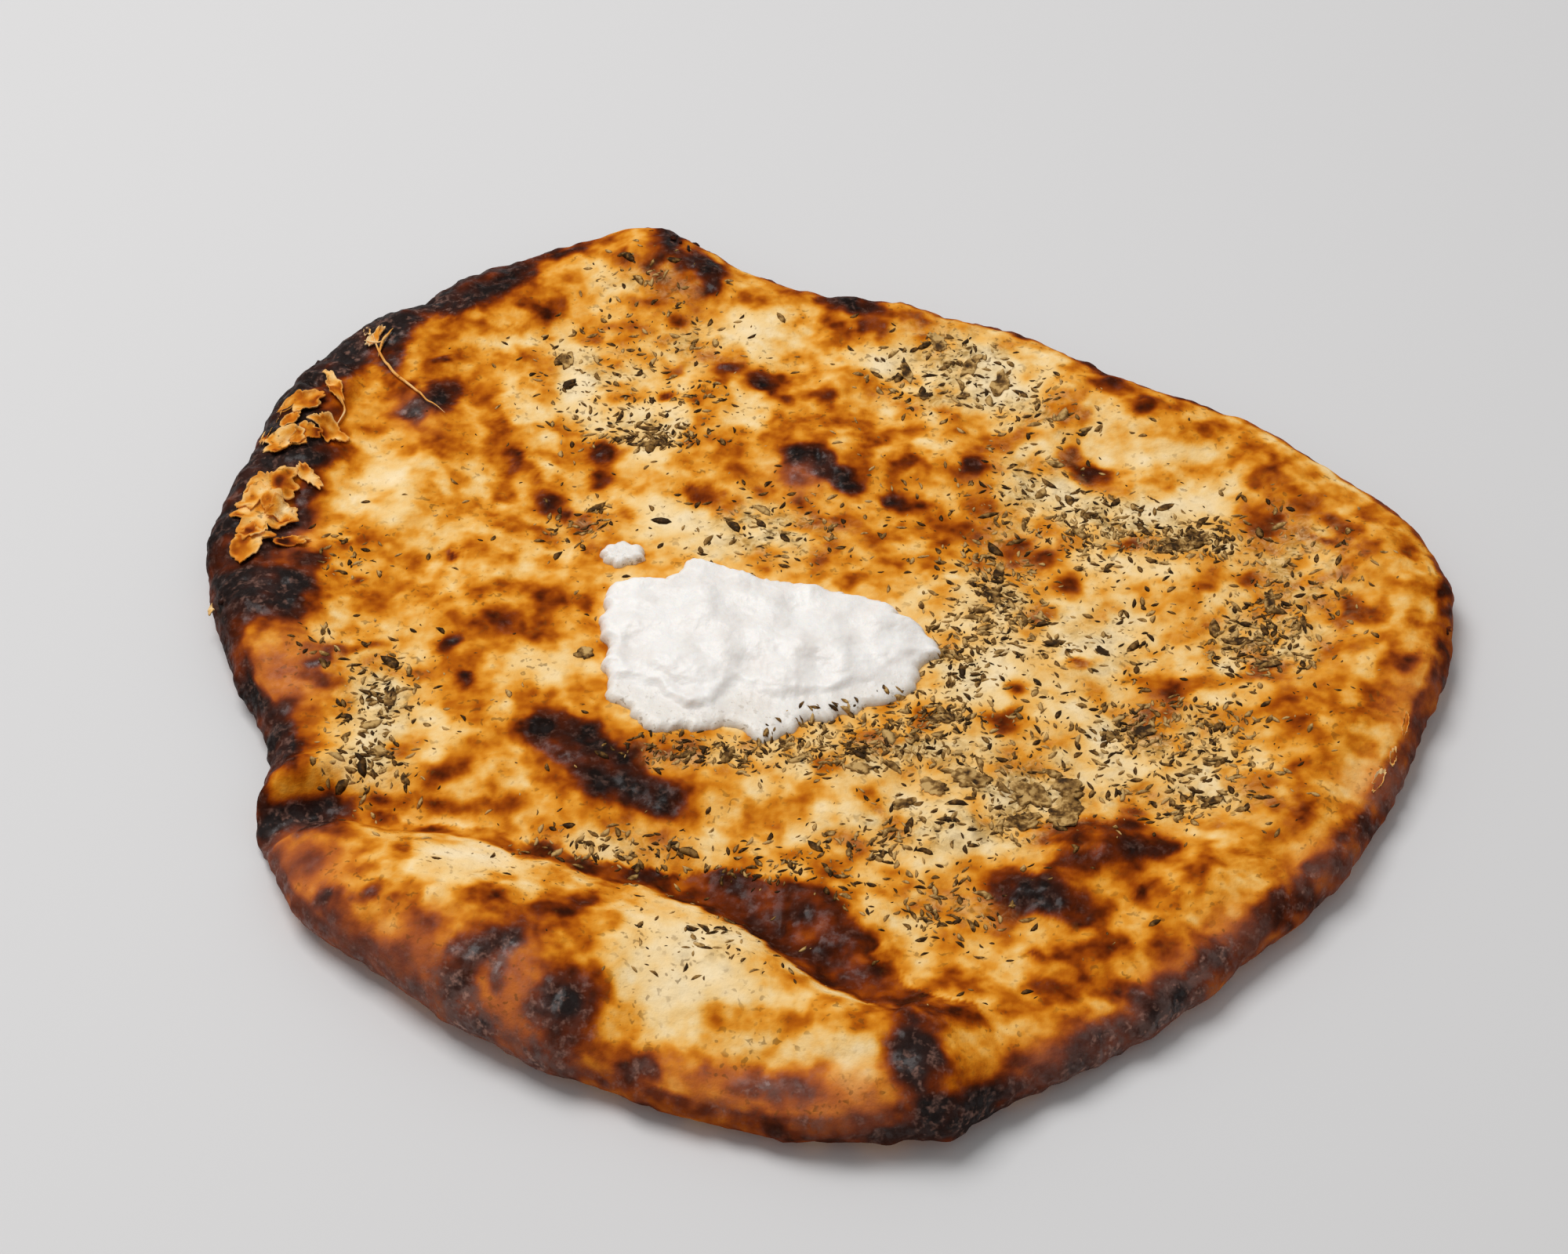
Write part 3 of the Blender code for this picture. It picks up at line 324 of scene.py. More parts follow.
# Blisters that bulge over the side wall: bearing, how far they stand out, spread.
BULGES = (
    (222, 0.5, 3), (229, 0.4, 2.4), (235, 0.7, 2.8), (245.5, 0.8, 2.8), (250.5, -0.4, 2), (266, 0.4, 4),
    (274, -0.3, 2), (278.5, 1.3, 2.6), (283.5, -0.4, 2), (292, 0.5, 3), (300, 0.7, 2.6), (307, 0.8, 3),
    (318, 0.7, 3), (325, 0.5, 2.4), (180, 0.6, 4), (150, 0.7, 3), (139, 0.7, 3), (127, 0.8, 3),
)
BULGE_INSET = 12.0

# Small blisters all over: how many, how far out they go, and their radii and heights.
BLISTERS = 260
BLISTER_REACH = 118.0
BLISTER_RADII = (1.6, 4.2)
BLISTER_HEIGHTS = (0.15, 0.5)

# Scales of crust that peeled and curled: x, y, half length, half width, turn, curl and bake.
PEELINGS = (
    (-113.4, 31.5, 6, 4.6, 60, 1.2, 0.5), (-114.4, 23.5, 6.4, 5.4, 100, 1.1, 0.46),
    (-115.6, 16.5, 4.6, 3.6, 80, 1.2, 0.5), (-110.6, 26, 3.2, 2.2, 60, 1.2, 0.52),
    (-109.6, 58, 4.4, 3.2, 20, 1.3, 0.5), (-103.4, 50, 3.6, 2.4, -40, 1.3, 0.44),
    (-112, 45.5, 4.4, 2.8, -20, 1.3, 0.46), (-107.5, 47.5, 3, 1.8, 40, 1, 0.52),
    (-115.4, 53, 7, 1.1, 72, 0.8, 0.4), (-111, 52.5, 2.6, 1.6, 70, 1.2, 0.5),
    (-103.6, 63.6, 5.2, 1.7, 115, 1.1, 0.4), (-106, 36, 3.6, 1.6, -52, 1.1, 0.36),
    (-107, 18, 3, 1.7, 20, 0.9, 0.5), (-121.6, 4, 2.6, 0.8, 80, 0.6, 0.4),
    (-96, 80.5, 3.2, 1.1, 60, 1, 0.34), (-98.5, 83, 2, 0.8, 110, 0.8, 0.34),
    (103.2, -45.5, 2.6, 0.8, 60, 0.9, 0.4), (106.6, -40, 2, 0.6, 75, 0.7, 0.42),
    (110, -32, 3, 0.6, 78, 0.6, 0.44),
)
PEELING_CELLS = 26
PEELING_THICKNESS = 0.35

# Strands of stretched dough: each a path of x, y, height over the crust and radius.
STRANDS = (
    ((-97.0, 81.0, 0.6, 0.3), (-95.0, 75.0, 0.9, 0.34), (-91.5, 69.6, 0.6, 0.34), (-86.5, 64.4, 0.5, 0.26),
     (-83.5, 60.4, 1.0, 0.24), (-79.6, 57.2, 0.8, 0.16)),
    ((-92.6, 82.0, 0.5, 0.26), (-94.6, 78.6, 0.9, 0.36), (-95.2, 74.5, 0.6, 0.28)),
    ((-98.6, 79.0, 0.7, 0.2), (-96.4, 78.2, 1.0, 0.26), (-94.0, 78.8, 0.6, 0.2)),
    ((-102.0, 61.0, 0.5, 0.2), (-100.5, 57.0, 0.8, 0.24), (-102.0, 52.0, 0.6, 0.2)),
)

# Crumbs of char on the rim: x, y, spread and how many.
CRUMBS = (
    (-34, 120.5, 1.8, 14), (-29, 114, 1.8, 8), (-107, -53, 1, 4), (-122.5, 5, 1.6, 4), (123.5, -5, 1.2, 4),
)
CRUMB_SIZES = (0.5, 1.2)

# Light: a soft room and one square softbox, its place and side in metres and its power in watts.
ROOM_STRENGTH = 0.38
SOFTBOX_PLACE = (-0.45, 0.35, 1.3)
SOFTBOX_SIDE = 0.8
SOFTBOX_POWER = 14.0

# How finely the surfaces are cut.
BREAD_CELLS = 256
RIM_STEPS_UP = np.linspace(9.0, 90.0, 10)
RIM_STEPS_DOWN = np.linspace(112.0, 180.0, 4)
UNDERSIDE_CELLS = 64
SMEAR_CELLS = 150
DAB_CELLS = 40
EDGE_STEPS_UP = np.linspace(12.0, 90.0, 8)


def rise_and_fall(bearing, rows):
    """Sum of bell curves round a full turn; each row is bearing, height and spread."""
    total = np.zeros_like(bearing)
    for middle, height, spread in rows:
        away = (bearing - middle + 180.0) % 360.0 - 180.0
        total += height * np.exp(-((away / spread) ** 2))
    return total


def own_axes(x, y, middle_x, middle_y, long, wide, turn=0.0):
    """Coordinates on an ellipse's own long and short axes, 1 at its edge."""
    angle = np.radians(turn)
    right, ahead = x - middle_x, y - middle_y
    u = (right * np.cos(angle) + ahead * np.sin(angle)) / long
    v = (ahead * np.cos(angle) - right * np.sin(angle)) / wide
    return u, v


def hills(x, y, rows):
    """Sum of oval bell-shaped hills, negative ones being hollows."""
    total = np.zeros_like(x)
    for middle_x, middle_y, height, *axes in rows:
        u, v = own_axes(x, y, middle_x, middle_y, *axes)
        total += height * np.exp(-(u**2 + v**2))
    return total


def smooth(low, high, value):
    """0 below low, 1 above high and an S-curve between."""
    share = np.clip((value - low) / (high - low), 0.0, 1.0)
    return share * share * (3.0 - 2.0 * share)


def scales(x, y, rows):
    """Sum of oval plates with a wavy, fairly steep edge."""
    total = np.zeros_like(x)
    for middle_x, middle_y, height, *axes in rows:
        u, v = own_axes(x, y, middle_x, middle_y, *axes)
        wavy = 1.0 + 0.14 * np.sin(4.0 * np.arctan2(v, u) + middle_y)
        total += height * smooth(1.25, 0.85, np.hypot(u, v) * wavy)
    return total


def waves(x, y, rows):
    """Sum of six plane waves a row, at seeded bearings and phases; each row is height, length and seed."""
    total = np.zeros_like(x)
    for height, length, seed in rows:
        draw = np.random.default_rng(seed)
        for bearing, phase in zip(draw.uniform(0, np.pi, 6), draw.uniform(0, 2 * np.pi, 6)):
            along = x * np.cos(bearing) + y * np.sin(bearing)
            total += height / 6**0.5 * np.sin(2 * np.pi * along / length + phase)
    return total


def beside_path(x, y, path):
    """For each point, the signed distance to a path of straight stretches, positive to its left,
    and how far along the path the nearest point lies, in stretches."""
    nearest = np.full_like(x, np.inf)
    signed, along = np.zeros_like(x), np.zeros_like(x)
    for index, ((ax, ay), (bx, by)) in enumerate(zip(path[:-1], path[1:])):
        step_x, step_y = bx - ax, by - ay
        share = ((x - ax) * step_x + (y - ay) * step_y) / np.hypot(step_x, step_y) ** 2
        share = np.clip(share, 0.0, 1.0)
        away = np.hypot(x - ax - share * step_x, y - ay - share * step_y)
        side = np.sign(step_x * (y - ay) - step_y * (x - ax))
        closer = away < nearest
        signed = np.where(closer, side * away, signed)
        along = np.where(closer, index + share, along)
        nearest = np.minimum(away, nearest)
    return signed, along


def reach(bearing):
    """How far the bread's rim is from the origin at a bearing."""
    return MEAN_REACH + rise_and_fall(bearing, RIM_SWELLS)


def inset_in_bread(x, y):
    """The bearing of a place, and how far inside the bread's rim it lies."""
    bearing = np.degrees(np.arctan2(y, x))
    return bearing, reach(bearing) - np.hypot(x, y)


def wall_run(bearing):
    """How far in from the rim its rounded side starts."""
    return WALL_RUN + rise_and_fall(bearing, WALL_RUNS)


def along_crease(along, values):
    """A value between those at the points of the crease."""
    return np.interp(along, np.arange(len(CREASE)), values)


def crease(x, y):
    """Depth of the fold: steep under the pillow in front and gentle behind."""
    signed, along = beside_path(x, y, CREASE)
    breadth = np.where(signed > 0, CREASE_BACK, CREASE_FRONT)
    return along_crease(along, CREASE_DEPTHS) * np.exp(-((signed / breadth) ** 2))


def flap(x, y):
    """A low ridge that fades towards both ends of its path."""
    signed, along = beside_path(x, y, FLAP)
    fade = np.sin(np.pi * np.clip(along / (len(FLAP) - 1), 0.05, 0.95))
    return FLAP_HEIGHT * fade * np.exp(-((signed / FLAP_BREADTH) ** 2))


def level_bed(x, y):
    """1 on the level beds that the butter lies on, fading to 0 round them."""
    share = np.zeros_like(x)
    for bed in BEDS:
        u, v = own_axes(x, y, *bed)
        share = np.maximum(share, smooth(BED_BLEND, 1.0, np.hypot(u, v)))
    return share


def bread_top(x, y):
    """Height of the crust: crumb, raised rim, puffs, peeled scales, fold, flap and slow waves."""
    bearing, inset = inset_in_bread(x, y)
    rim = rise_and_fall(bearing, RIM_RISES) * np.exp(-(((inset - RIM_INSET) / RIM_BREADTH) ** 2))
    free = CRUMB + rim + hills(x, y, PUFFS) + scales(x, y, PEELED_CRUST)
    free += flap(x, y) + waves(x, y, WAVES) - crease(x, y)
    bed = level_bed(x, y)
    return free * (1.0 - bed) + SMEAR_BED * bed


def gradient_noise(points, size, seed):
    """Noise from -1 to 1 at points of three coordinates: seeded random slopes on a cubic lattice of this
    size, blended between its corners by the quintic curve 6t^5 - 15t^4 + 10t^3."""
    draw = np.random.default_rng(seed)
    order = draw.permutation(256)
    slopes = draw.normal(size=(256, 3))
    slopes /= np.linalg.norm(slopes, axis=1, keepdims=True)
    places = points / size
    corner = np.floor(places).astype(np.int64)
    inside = places - corner
    fade = inside**3 * (inside * (inside * 6.0 - 15.0) + 10.0)
    total = np.zeros(len(points))
    for step in np.ndindex(2, 2, 2):
        cell = (corner + step) & 255
        pick = order[(order[(order[cell[:, 0]] + cell[:, 1]) & 255] + cell[:, 2]) & 255]
        share = np.prod(np.where(step, fade, 1.0 - fade), axis=1)
        total += share * ((inside - step) * slopes[pick]).sum(axis=1)
    return total * 1.6


def fractal_noise(points, size, octaves, seed):
    """Sum of octaves of the noise, each half as large and half as strong as the one before."""
    total = np.zeros(len(points))
    for octave in range(octaves):
        total += gradient_noise(points, size / 2**octave, seed + octave) / 2**octave
    return total


def round_grid(cells):
    """A square grid bent to a disc: each point's share of the reach and its bearing, row by row. Rings
    of the square become rings of the disc."""
    side = np.linspace(-1.0, 1.0, cells + 1)
    a, b = (values.ravel() for values in np.meshgrid(side, side))
    ring = np.maximum(np.abs(a), np.abs(b))
    safe_a, safe_b = np.where(a == 0, 1.0, a), np.where(b == 0, 1.0, b)
    flat_turn = 45.0 * b / safe_a + np.where(a < 0, 180.0, 0.0)
    steep_turn = 90.0 - 45.0 * a / safe_b + np.where(b < 0, 180.0, 0.0)
    return ring, np.where(np.abs(a) > np.abs(b), flat_turn, steep_turn)


def grid_border(cells):
    """Indices of the grid's outer points, once round anticlockwise from its corner."""
    index = np.arange((cells + 1) ** 2).reshape(cells + 1, cells + 1)
    sides = (index[0, :-1], index[:-1, -1], index[-1, :0:-1], index[:0:-1, 0])
    return np.concatenate(sides)


def grid_faces(cells):
    """The grid's squares, facing up."""
    index = np.arange((cells + 1) ** 2).reshape(cells + 1, cells + 1)
    corners = (index[:-1, :-1], index[:-1, 1:], index[1:, 1:], index[1:, :-1])
    return np.stack([corner.ravel() for corner in corners], 1)


def band_faces(upper, lower):
    """The squares between two rings of points, facing outwards."""
    return np.stack([upper, lower, np.roll(lower, -1), np.roll(upper, -1)], 1)


def halving_faces(upper, lower):
    """Faces of five corners between a ring of points and one of half as many, facing outwards."""
    first, middle, last = upper[::2], upper[1::2], np.roll(upper, -2)[::2]
    return np.stack([first, lower, np.roll(lower, -1), last, middle], 1)


def point_normals(points, faces):
    """Unit normals at the points of a mesh of four-sided faces, from the sum of its faces' normals."""
    across = points[faces[:, 2]] - points[faces[:, 0]]
    down = points[faces[:, 3]] - points[faces[:, 1]]
    facing = np.cross(across, down)
    total = np.zeros_like(points)
    for corner in range(4):
        np.add.at(total, faces[:, corner], facing)
    return total / np.maximum(np.linalg.norm(total, axis=1, keepdims=True), 1e-9)


def add_piece(name, points, faces, material, **fields):
    """Makes a mesh object from points in millimetres and faces, shaded smooth. Each field is a float
    attribute, a number or a value for each point."""
    mesh = bpy.data.meshes.new(name)
    mesh.from_pydata((points * MM).tolist(), [], faces)
    for field, values in fields.items():
        values = np.broadcast_to(values, len(points)).astype(np.float32)
        mesh.attributes.new(field, "FLOAT", "POINT").data.foreach_set("value", values)
    mesh.materials.append(material)
    mesh.shade_smooth()
    piece = bpy.data.objects.new(name, mesh)
    bpy.context.scene.collection.objects.link(piece)
    return piece


def seen_level(points):
    """Where each point's line of sight from the camera meets the level that the marks were read at."""
    share = (CAMERA[2] - READ_LEVEL) / (CAMERA[2] - points[:, 2])
    return (CAMERA[:2] + (points[:, :2] - CAMERA[:2]) * share[:, None]).T


def warped(x, y, points):
    """Plan coordinates pushed about by noise, so that the edges of the marks are ragged."""
    shift_x, shift_y = (
        1.7 * gradient_noise(points, 8.0, seed) + 1.3 * gradient_noise(points, 3.4, seed + 1)
        for seed in (101, 103)
    )
    return x + shift_x, y + shift_y


def drawn_to(bake, level, share):
    """Bake drawn up towards a darker level by this share."""
    return bake + np.maximum(level - bake, 0.0) * share


def crust_fields(points, inset, under=0.0):
    """Bake (0 raw dough to 1 black), herb stain, ash, blush and gloss at points of the bread; ash and blush
    also mask a painted sheen and painted glints. inset is the distance in from its widest edge and under is
    1 on its underside. Each burn draws the bake towards its own level by a bell-shaped share, with a wider
    and fainter bell round it."""
    x, y = warped(*seen_level(points), points)
    patchy = fractal_noise(points * PATCH_STRETCH, PATCH_SIZE, 2, 7)
    shift = SHIFT_STRENGTH * hills(x, y, SHIFTS)
    dark_spots = DARK_SPOTS * smooth(0.05, 0.6, fractal_noise(points, 6.5, 2, 9))
    pale_spots = PALE_SPOTS * smooth(0.1, 0.6, fractal_noise(points, 6.0, 2, 13))
    spots = (dark_spots - pale_spots) * smooth(-0.4, 0.0, shift)
    bake = np.clip(BASE_BAKE + PATCHES * patchy + shift + spots, *PLAIN_BAKES)
    uneven = 0.1 * fractal_noise(points, 5.0, 2, 41)
    for middle_x, middle_y, level, *axes in BURNS:
        u, v = own_axes(x, y, middle_x, middle_y, *axes)
        away = u**2 + v**2
        bake = drawn_to(bake, HALO * level, np.exp(-away / 2.0))
        bake = drawn_to(bake, level + uneven, np.exp(-(away ** (1.1 + 0.18 * min(axes[:2])))))

    signed, along = beside_path(*warped(points[:, 0], points[:, 1], points), CREASE)
    share = smooth(-4.5, -2.5, signed) * smooth(1.15, 0.8, signed / along_crease(along, CREASE_SCORCH))
    bake = drawn_to(bake, along_crease(along, CREASE_SCORCH_LEVELS) + uneven, share)

    bearing = np.degrees(np.arctan2(points[:, 1], points[:, 0]))
    ragged = 0.45 * fractal_noise(points, 9.0, 3, 31)
    breadth = RIM_SCORCH_BREADTH + rise_and_fall(bearing, RIM_SCORCHES)
    level = RIM_SCORCH_LEVEL + rise_and_fall(bearing, RIM_BLACKS) + uneven
    bake = drawn_to(bake, level, smooth(1.45, 0.8, inset / breadth + ragged))

    below = 0.24 + 0.2 * patchy + 0.5 * smooth(0.25, 0.7, fractal_noise(points, 11.0, 3, 57))
    bake = np.clip(bake * (1.0 - under) + np.clip(below, 0.0, 1.0) * under, 0.0, 1.0)

    stain = np.zeros_like(bake)
    for *drift, count in HERB_DRIFTS:
        u, v = own_axes(x, y, *drift)
        stain += min(count, 6) / 6.0 * np.exp(-(u**2 + v**2) / 1.6)
    shown = 1.0 - under
    stain = np.clip(stain, 0.0, 1.0) * (1.0 - smooth(0.6, 0.8, bake)) * shown
    # Ash masks real char and also a painted sheen and painted glints; blush masks reddish crust and also a
    # painted sheen.
    ash = np.clip(hills(x, y, ASH_AND_SHEEN_PLACES), 0.0, 1.0) * smooth(0.6, 0.86, bake) * shown
    blush = np.clip(hills(x, y, BLUSH_AND_SHEEN_PLACES), 0.0, 1.0) * shown
    gloss = np.clip(smooth(0.74, 0.9, bake) * (0.4 + 0.6 * blush) + 0.25 * blush, 0.0, 1.0) * shown
    return {"bake": bake, "stain": stain, "ash": ash, "blush": blush, "gloss": gloss}


def blisters(points):
    """Sum of small round domes at seeded places, more of them towards the rim."""
    draw = np.random.default_rng(23)
    total = np.zeros(len(points))
    for _ in range(BLISTERS):
        far = BLISTER_REACH * draw.uniform() ** 0.4
        turn = draw.uniform(0.0, 2.0 * np.pi)
        radius, height = draw.uniform(*BLISTER_RADII), draw.uniform(*BLISTER_HEIGHTS)
        away = np.hypot(points[:, 0] - far * np.cos(turn), points[:, 1] - far * np.sin(turn)) / radius
        near = away < 1.0
        total[near] += height * (1.0 - away[near] ** 2) ** 1.5
    return total


def crust_relief(points, burnt):
    """How far the crust stands off its plain form: wrinkles, fine crags, blisters, rougher where burnt,
    and bulges where blisters run over the side wall."""
    wrinkles = (0.34 + 0.3 * burnt) * fractal_noise(points, 10.0, 3, 211)
    crags = (0.14 + 0.36 * burnt) * fractal_noise(points, 3.6, 2, 223)
    ridges = 0.5 * burnt * (0.35 - np.abs(gradient_noise(points, 5.5, 229)))
    bearing, inset = inset_in_bread(points[:, 0], points[:, 1])
    inset = np.maximum(inset - 2.0, 0.0)
    bulge = rise_and_fall(bearing, BULGES) * np.exp(-2.0 * (inset / BULGE_INSET) ** 2)
    return wrinkles + crags + ridges + bulge + blisters(points)


def at(bearing, far, height):
    """Points at a bearing, a distance from the origin and a height."""
    turn = np.radians(bearing)
    return np.stack([far * np.cos(turn), far * np.sin(turn), height], 1)


def bread_form():
    """The bread's points, its four-sided faces, other faces, inset from its widest edge and share of
    underside: a disc grid on top, rings down its rounded side and in to its foot, two rings that halve
    in number, and a level disc grid below. Each ring follows an ellipse between the crust, the widest
    place and the foot."""
    ring, bearing = round_grid(BREAD_CELLS)
    far = ring * (reach(bearing) - wall_run(bearing))
    x, y = at(bearing, far, far)[:, :2].T
    rows = [(np.stack([x, y, bread_top(x, y)], 1), reach(bearing) - far, 0.0)]
    upper, start = grid_border(BREAD_CELLS), len(ring)
    around, top = bearing[upper], rows[0][0][upper, 2]
    faces, closing = [grid_faces(BREAD_CELLS)], []
    widest = top * WIDEST_SHARE
    lift = FOOT_LIFT + rise_and_fall(around, FOOT_LIFTS)
    for step in (*RIM_STEPS_UP, *RIM_STEPS_DOWN):
        turn = np.radians(step)
        if step <= 90.0:
            run, height, side = wall_run(around), top - widest, 1.0
        else:
            run, height, side = FOOT_INSET, widest - lift, -1.0
        edge = reach(around) - run * (1.0 - np.sin(turn))
        ring_points = at(around, edge, widest + height * np.cos(turn))
        rows.append((ring_points, side * (reach(around) - edge), smooth(105.0, 175.0, step)))
        lower = start + np.arange(len(around))
        faces.append(band_faces(upper, lower))
        start, upper = start + len(around), lower
    for share in (0.55, 1.0):
        around, lift = around[::2], lift[::2]
        inset = FOOT_INSET + share * (REST_INSET - FOOT_INSET)
        rows.append((at(around, reach(around) - inset, lift * (1.0 - share) ** 2), -inset, 1.0))
        lower = start + np.arange(len(around))
        closing += halving_faces(upper, lower).tolist()
        start, upper = start + len(around), lower
    ring, bearing = round_grid(UNDERSIDE_CELLS)
    own = np.full(len(ring), -1)
    own[grid_border(UNDERSIDE_CELLS)] = upper
    inside = own < 0
    own[inside] = start + np.arange(inside.sum())
    inner = at(bearing, ring * (reach(bearing) - REST_INSET), np.zeros_like(ring))[inside]
    rows.append((inner, -REST_INSET, 1.0))
    closing += own[grid_faces(UNDERSIDE_CELLS)][:, ::-1].tolist()
    points = np.concatenate([row[0] for row in rows])
    inset, under = (
        np.concatenate([np.broadcast_to(row[column], len(row[0])) for row in rows]) for column in (1, 2)
    )
    return points, np.concatenate(faces), closing, inset, under


def add_bread(material):
    """The bread with its relief: each point of the plain form moves along its normal."""
    points, faces, closing, inset, under = bread_form()
    burnt = smooth(*BURNT, crust_fields(points, inset, under)["bake"])
    free = (1.0 - level_bed(points[:, 0], points[:, 1])) * (1.0 - under)
    points = points + point_normals(points, faces) * (crust_relief(points, burnt) * free)[:, None]
    fields = crust_fields(points, inset, under)
    return add_piece("baked_bread", points, faces.tolist() + closing, material, **fields)


def crust_height(x, y):
    """Height of the crust with its relief, its rounded side falling away on a quarter of an ellipse."""
    bearing, inset = inset_in_bread(x, y)
    out = np.clip(1.0 - inset / wall_run(bearing), 0.0, 0.98)
    share = WIDEST_SHARE + (1.0 - WIDEST_SHARE) * np.sqrt(1.0 - out**2)
    plain = np.stack([x, y, bread_top(x, y) * share], 1)
    burnt = smooth(*BURNT, crust_fields(plain, inset)["bake"])
    return plain[:, 2] + crust_relief(plain, burnt) * (1.0 - level_bed(x, y))


def smear_reach(bearing):
    """How far the smear of butter spreads from its own middle, read off its outline."""
    bearings, reaches = np.array(SMEAR_EDGE).T
    return np.interp(bearing, bearings, reaches, period=360.0)


def smear_depth(x, y):
    """Thickness of the smear: a thin skirt in front of its lip and the lumpy mass behind it, which
    bulges along the lip."""
    signed, along = beside_path(x, y, SMEAR_LIP)
    signed = signed + 2.2 * fractal_noise(np.stack([x, y, 0.0 * x], 1), 7.0, 2, 87)
    steep = 0.32 * smooth(0.0, 3.0, along) * smooth(len(SMEAR_LIP) - 1.0, len(SMEAR_LIP) - 5.0, along)
    slope = steep * smooth(-0.8, 1.4, signed) + (1.0 - steep) * smooth(-5.0, 12.0, signed)
    mass = SMEAR_MASS * slope + LIP_BULGE * np.exp(-(((signed - 1.6) / 1.3) ** 2))
    lumps = hills(x, y, SMEAR_HILLS) + waves(x, y, SMEAR_WAVES)
    return THIN_SKIRT + mass + lumps * smooth(-1.0, 4.0, signed)


def smear_top(x, y):
    """Height of the smear of butter, falling away at its edge on a quarter of an ellipse; 0 off it."""
    inset = inset_in_smear(x, y)
    out = np.clip(1.0 - inset / SMEAR_RUN, 0.0, 1.0)
    top = SMEAR_BED - SUNK + (smear_depth(x, y) + GAP + SUNK) * np.sqrt(1.0 - out**2)
    return np.where(inset > 0.0, top, 0.0)


def dab_reach(bearing):
    """How far the dab spreads from its own middle: an ellipse."""
    turn = np.radians(bearing)
    return 1.0 / np.hypot(np.cos(turn) / DAB_LONG, np.sin(turn) / DAB_WIDE)


def dab_depth(x, y):
    """Thickness of the dab, the same all over."""
    return np.full_like(x, DAB_MASS)


def inset_in_smear(x, y):
    """How far inside the smear's outline a place lies; negative outside."""
    right, ahead = x - SMEAR_X, y - SMEAR_Y
    return smear_reach(np.degrees(np.arctan2(ahead, right))) - np.hypot(right, ahead)


def add_butter(name, cells, middle, spread, depth, run, material):
    """Butter pressed into its bed: a disc grid, a rounded edge and a level underside, all roughened by
    noise along the normals. Its thickness is kept as an attribute, because thin butter is see-through."""
    ring, bearing = round_grid(cells)
    ragged = 1.1 * fractal_noise(at(bearing, spread(bearing), np.zeros_like(bearing)), 4.0, 3, 71)
    middle = np.array([*middle, 0.0])
    far = spread(bearing) - run + ragged
    x, y = (middle + at(bearing, ring * far, far))[:, :2].T
    thick = depth(x, y)
    points, thicks = [np.stack([x, y, SMEAR_BED + GAP + thick], 1)], [thick]
    upper, start = grid_border(cells), len(ring)
    around, brim, far = bearing[upper], thick[upper], far[upper]
    faces = [grid_faces(cells)]
    for step in EDGE_STEPS_UP:
        turn = np.radians(step)
        height = SMEAR_BED - SUNK + (brim + GAP + SUNK) * np.cos(turn)
        points.append(middle + at(around, far + run * np.sin(turn), height))
        thicks.append(brim * np.cos(turn))
        lower = start + np.arange(len(around))
        faces.append(band_faces(upper, lower))
        start, upper = start + len(around), lower
    points, faces, thicks = (np.concatenate(parts) for parts in (points, faces, thicks))
    rough = 0.34 * fractal_noise(points, 6.5, 2, 77) + 0.2 * np.abs(gradient_noise(points, 3.0, 79))
    rough += 0.12 * gradient_noise(points, 1.4, 83) - 0.1
    rough *= smooth(0.0, 2.4, thicks) * 0.8 + 0.2
    rough[upper] = 0.0
    points = points + point_normals(points, faces) * rough[:, None]
    return add_piece(name, points, faces.tolist() + [upper[::-1].tolist()], material, thickness=thicks)


def big_herb_places():
    """Seeded places of the big flecks: x, y, length and turn, kept apart and clear of the butter."""
    draw = np.random.default_rng(HERB_SEED)
    kept = []
    for middle_x, middle_y, long, wide, count in HERB_DRIFTS:
        wanted = len(kept) + count
        for _ in range(count * 12):
            x, y = middle_x + long * draw.normal(), middle_y + wide * draw.normal()
            length, turn = draw.uniform(*HERB_LENGTHS), draw.uniform(0.0, 180.0)
            from_butter = min(-inset_in_smear(x, y), np.hypot(x - DAB_X, y - DAB_Y) - DAB_LONG)
            inside = inset_in_bread(x, y)[1] > HERB_INSET
            apart = all(np.hypot(x - other[0], y - other[1]) > HERB_APART for other in kept)
            if inside and apart and from_butter > HERB_CLEAR_OF_BUTTER:
                kept.append((x, y, length, turn))
            if len(kept) == wanted:
                break
    return np.array(kept)


def small_herb_places():
    """Seeded places of the small flecks: round the drifts, and strays all over, off the butter but for
    the front of its thin skirt, and few of them on burnt crust."""
    draw = np.random.default_rng(HERB_SEED + 1)
    drifts = [(*row[:4], row[4] * SMALL_HERBS_A_BIG_ONE) for row in HERB_DRIFTS]
    rows = []
    for middle_x, middle_y, long, wide, many in (*drifts, *FINE_DRIFTS):
        x = middle_x + 1.15 * long * draw.normal(size=many)
        y = middle_y + 1.15 * wide * draw.normal(size=many)
        rows.append(np.stack([x, y], 1))
    far = STRAY_REACH * draw.uniform(size=STRAY_HERBS) ** 0.5
    turn = draw.uniform(0.0, 2.0 * np.pi, STRAY_HERBS)
    rows.append(np.stack([far * np.cos(turn), far * np.sin(turn)], 1))
    places = np.concatenate(rows)
    x, y = places.T
    from_smear = -inset_in_smear(x, y)
    on_skirt = (from_smear > -SKIRT_HERBS) & (x > SMEAR_X) & (beside_path(x, y, SMEAR_LIP)[0] < -0.6)
    off_dab = np.hypot(x - DAB_X, y - DAB_Y) - DAB_LONG > 0.6
    inside = inset_in_bread(x, y)[1] > SMALL_HERB_INSET
    places = places[inside & ((from_smear > -0.2) | on_skirt) & off_dab]
    x, y = places.T
    bake = crust_fields(np.stack([x, y, bread_top(x, y)], 1), np.full_like(x, 20.0))["bake"]
    places = places[draw.uniform(size=len(x)) > 0.9 * smooth(0.55, 0.9, bake)]
    low, high = SMALL_HERB_LENGTHS
    length = low + (high - low) * draw.uniform(size=len(places)) ** 1.8
    return np.column_stack([places, length, draw.uniform(0.0, 180.0, len(places))])


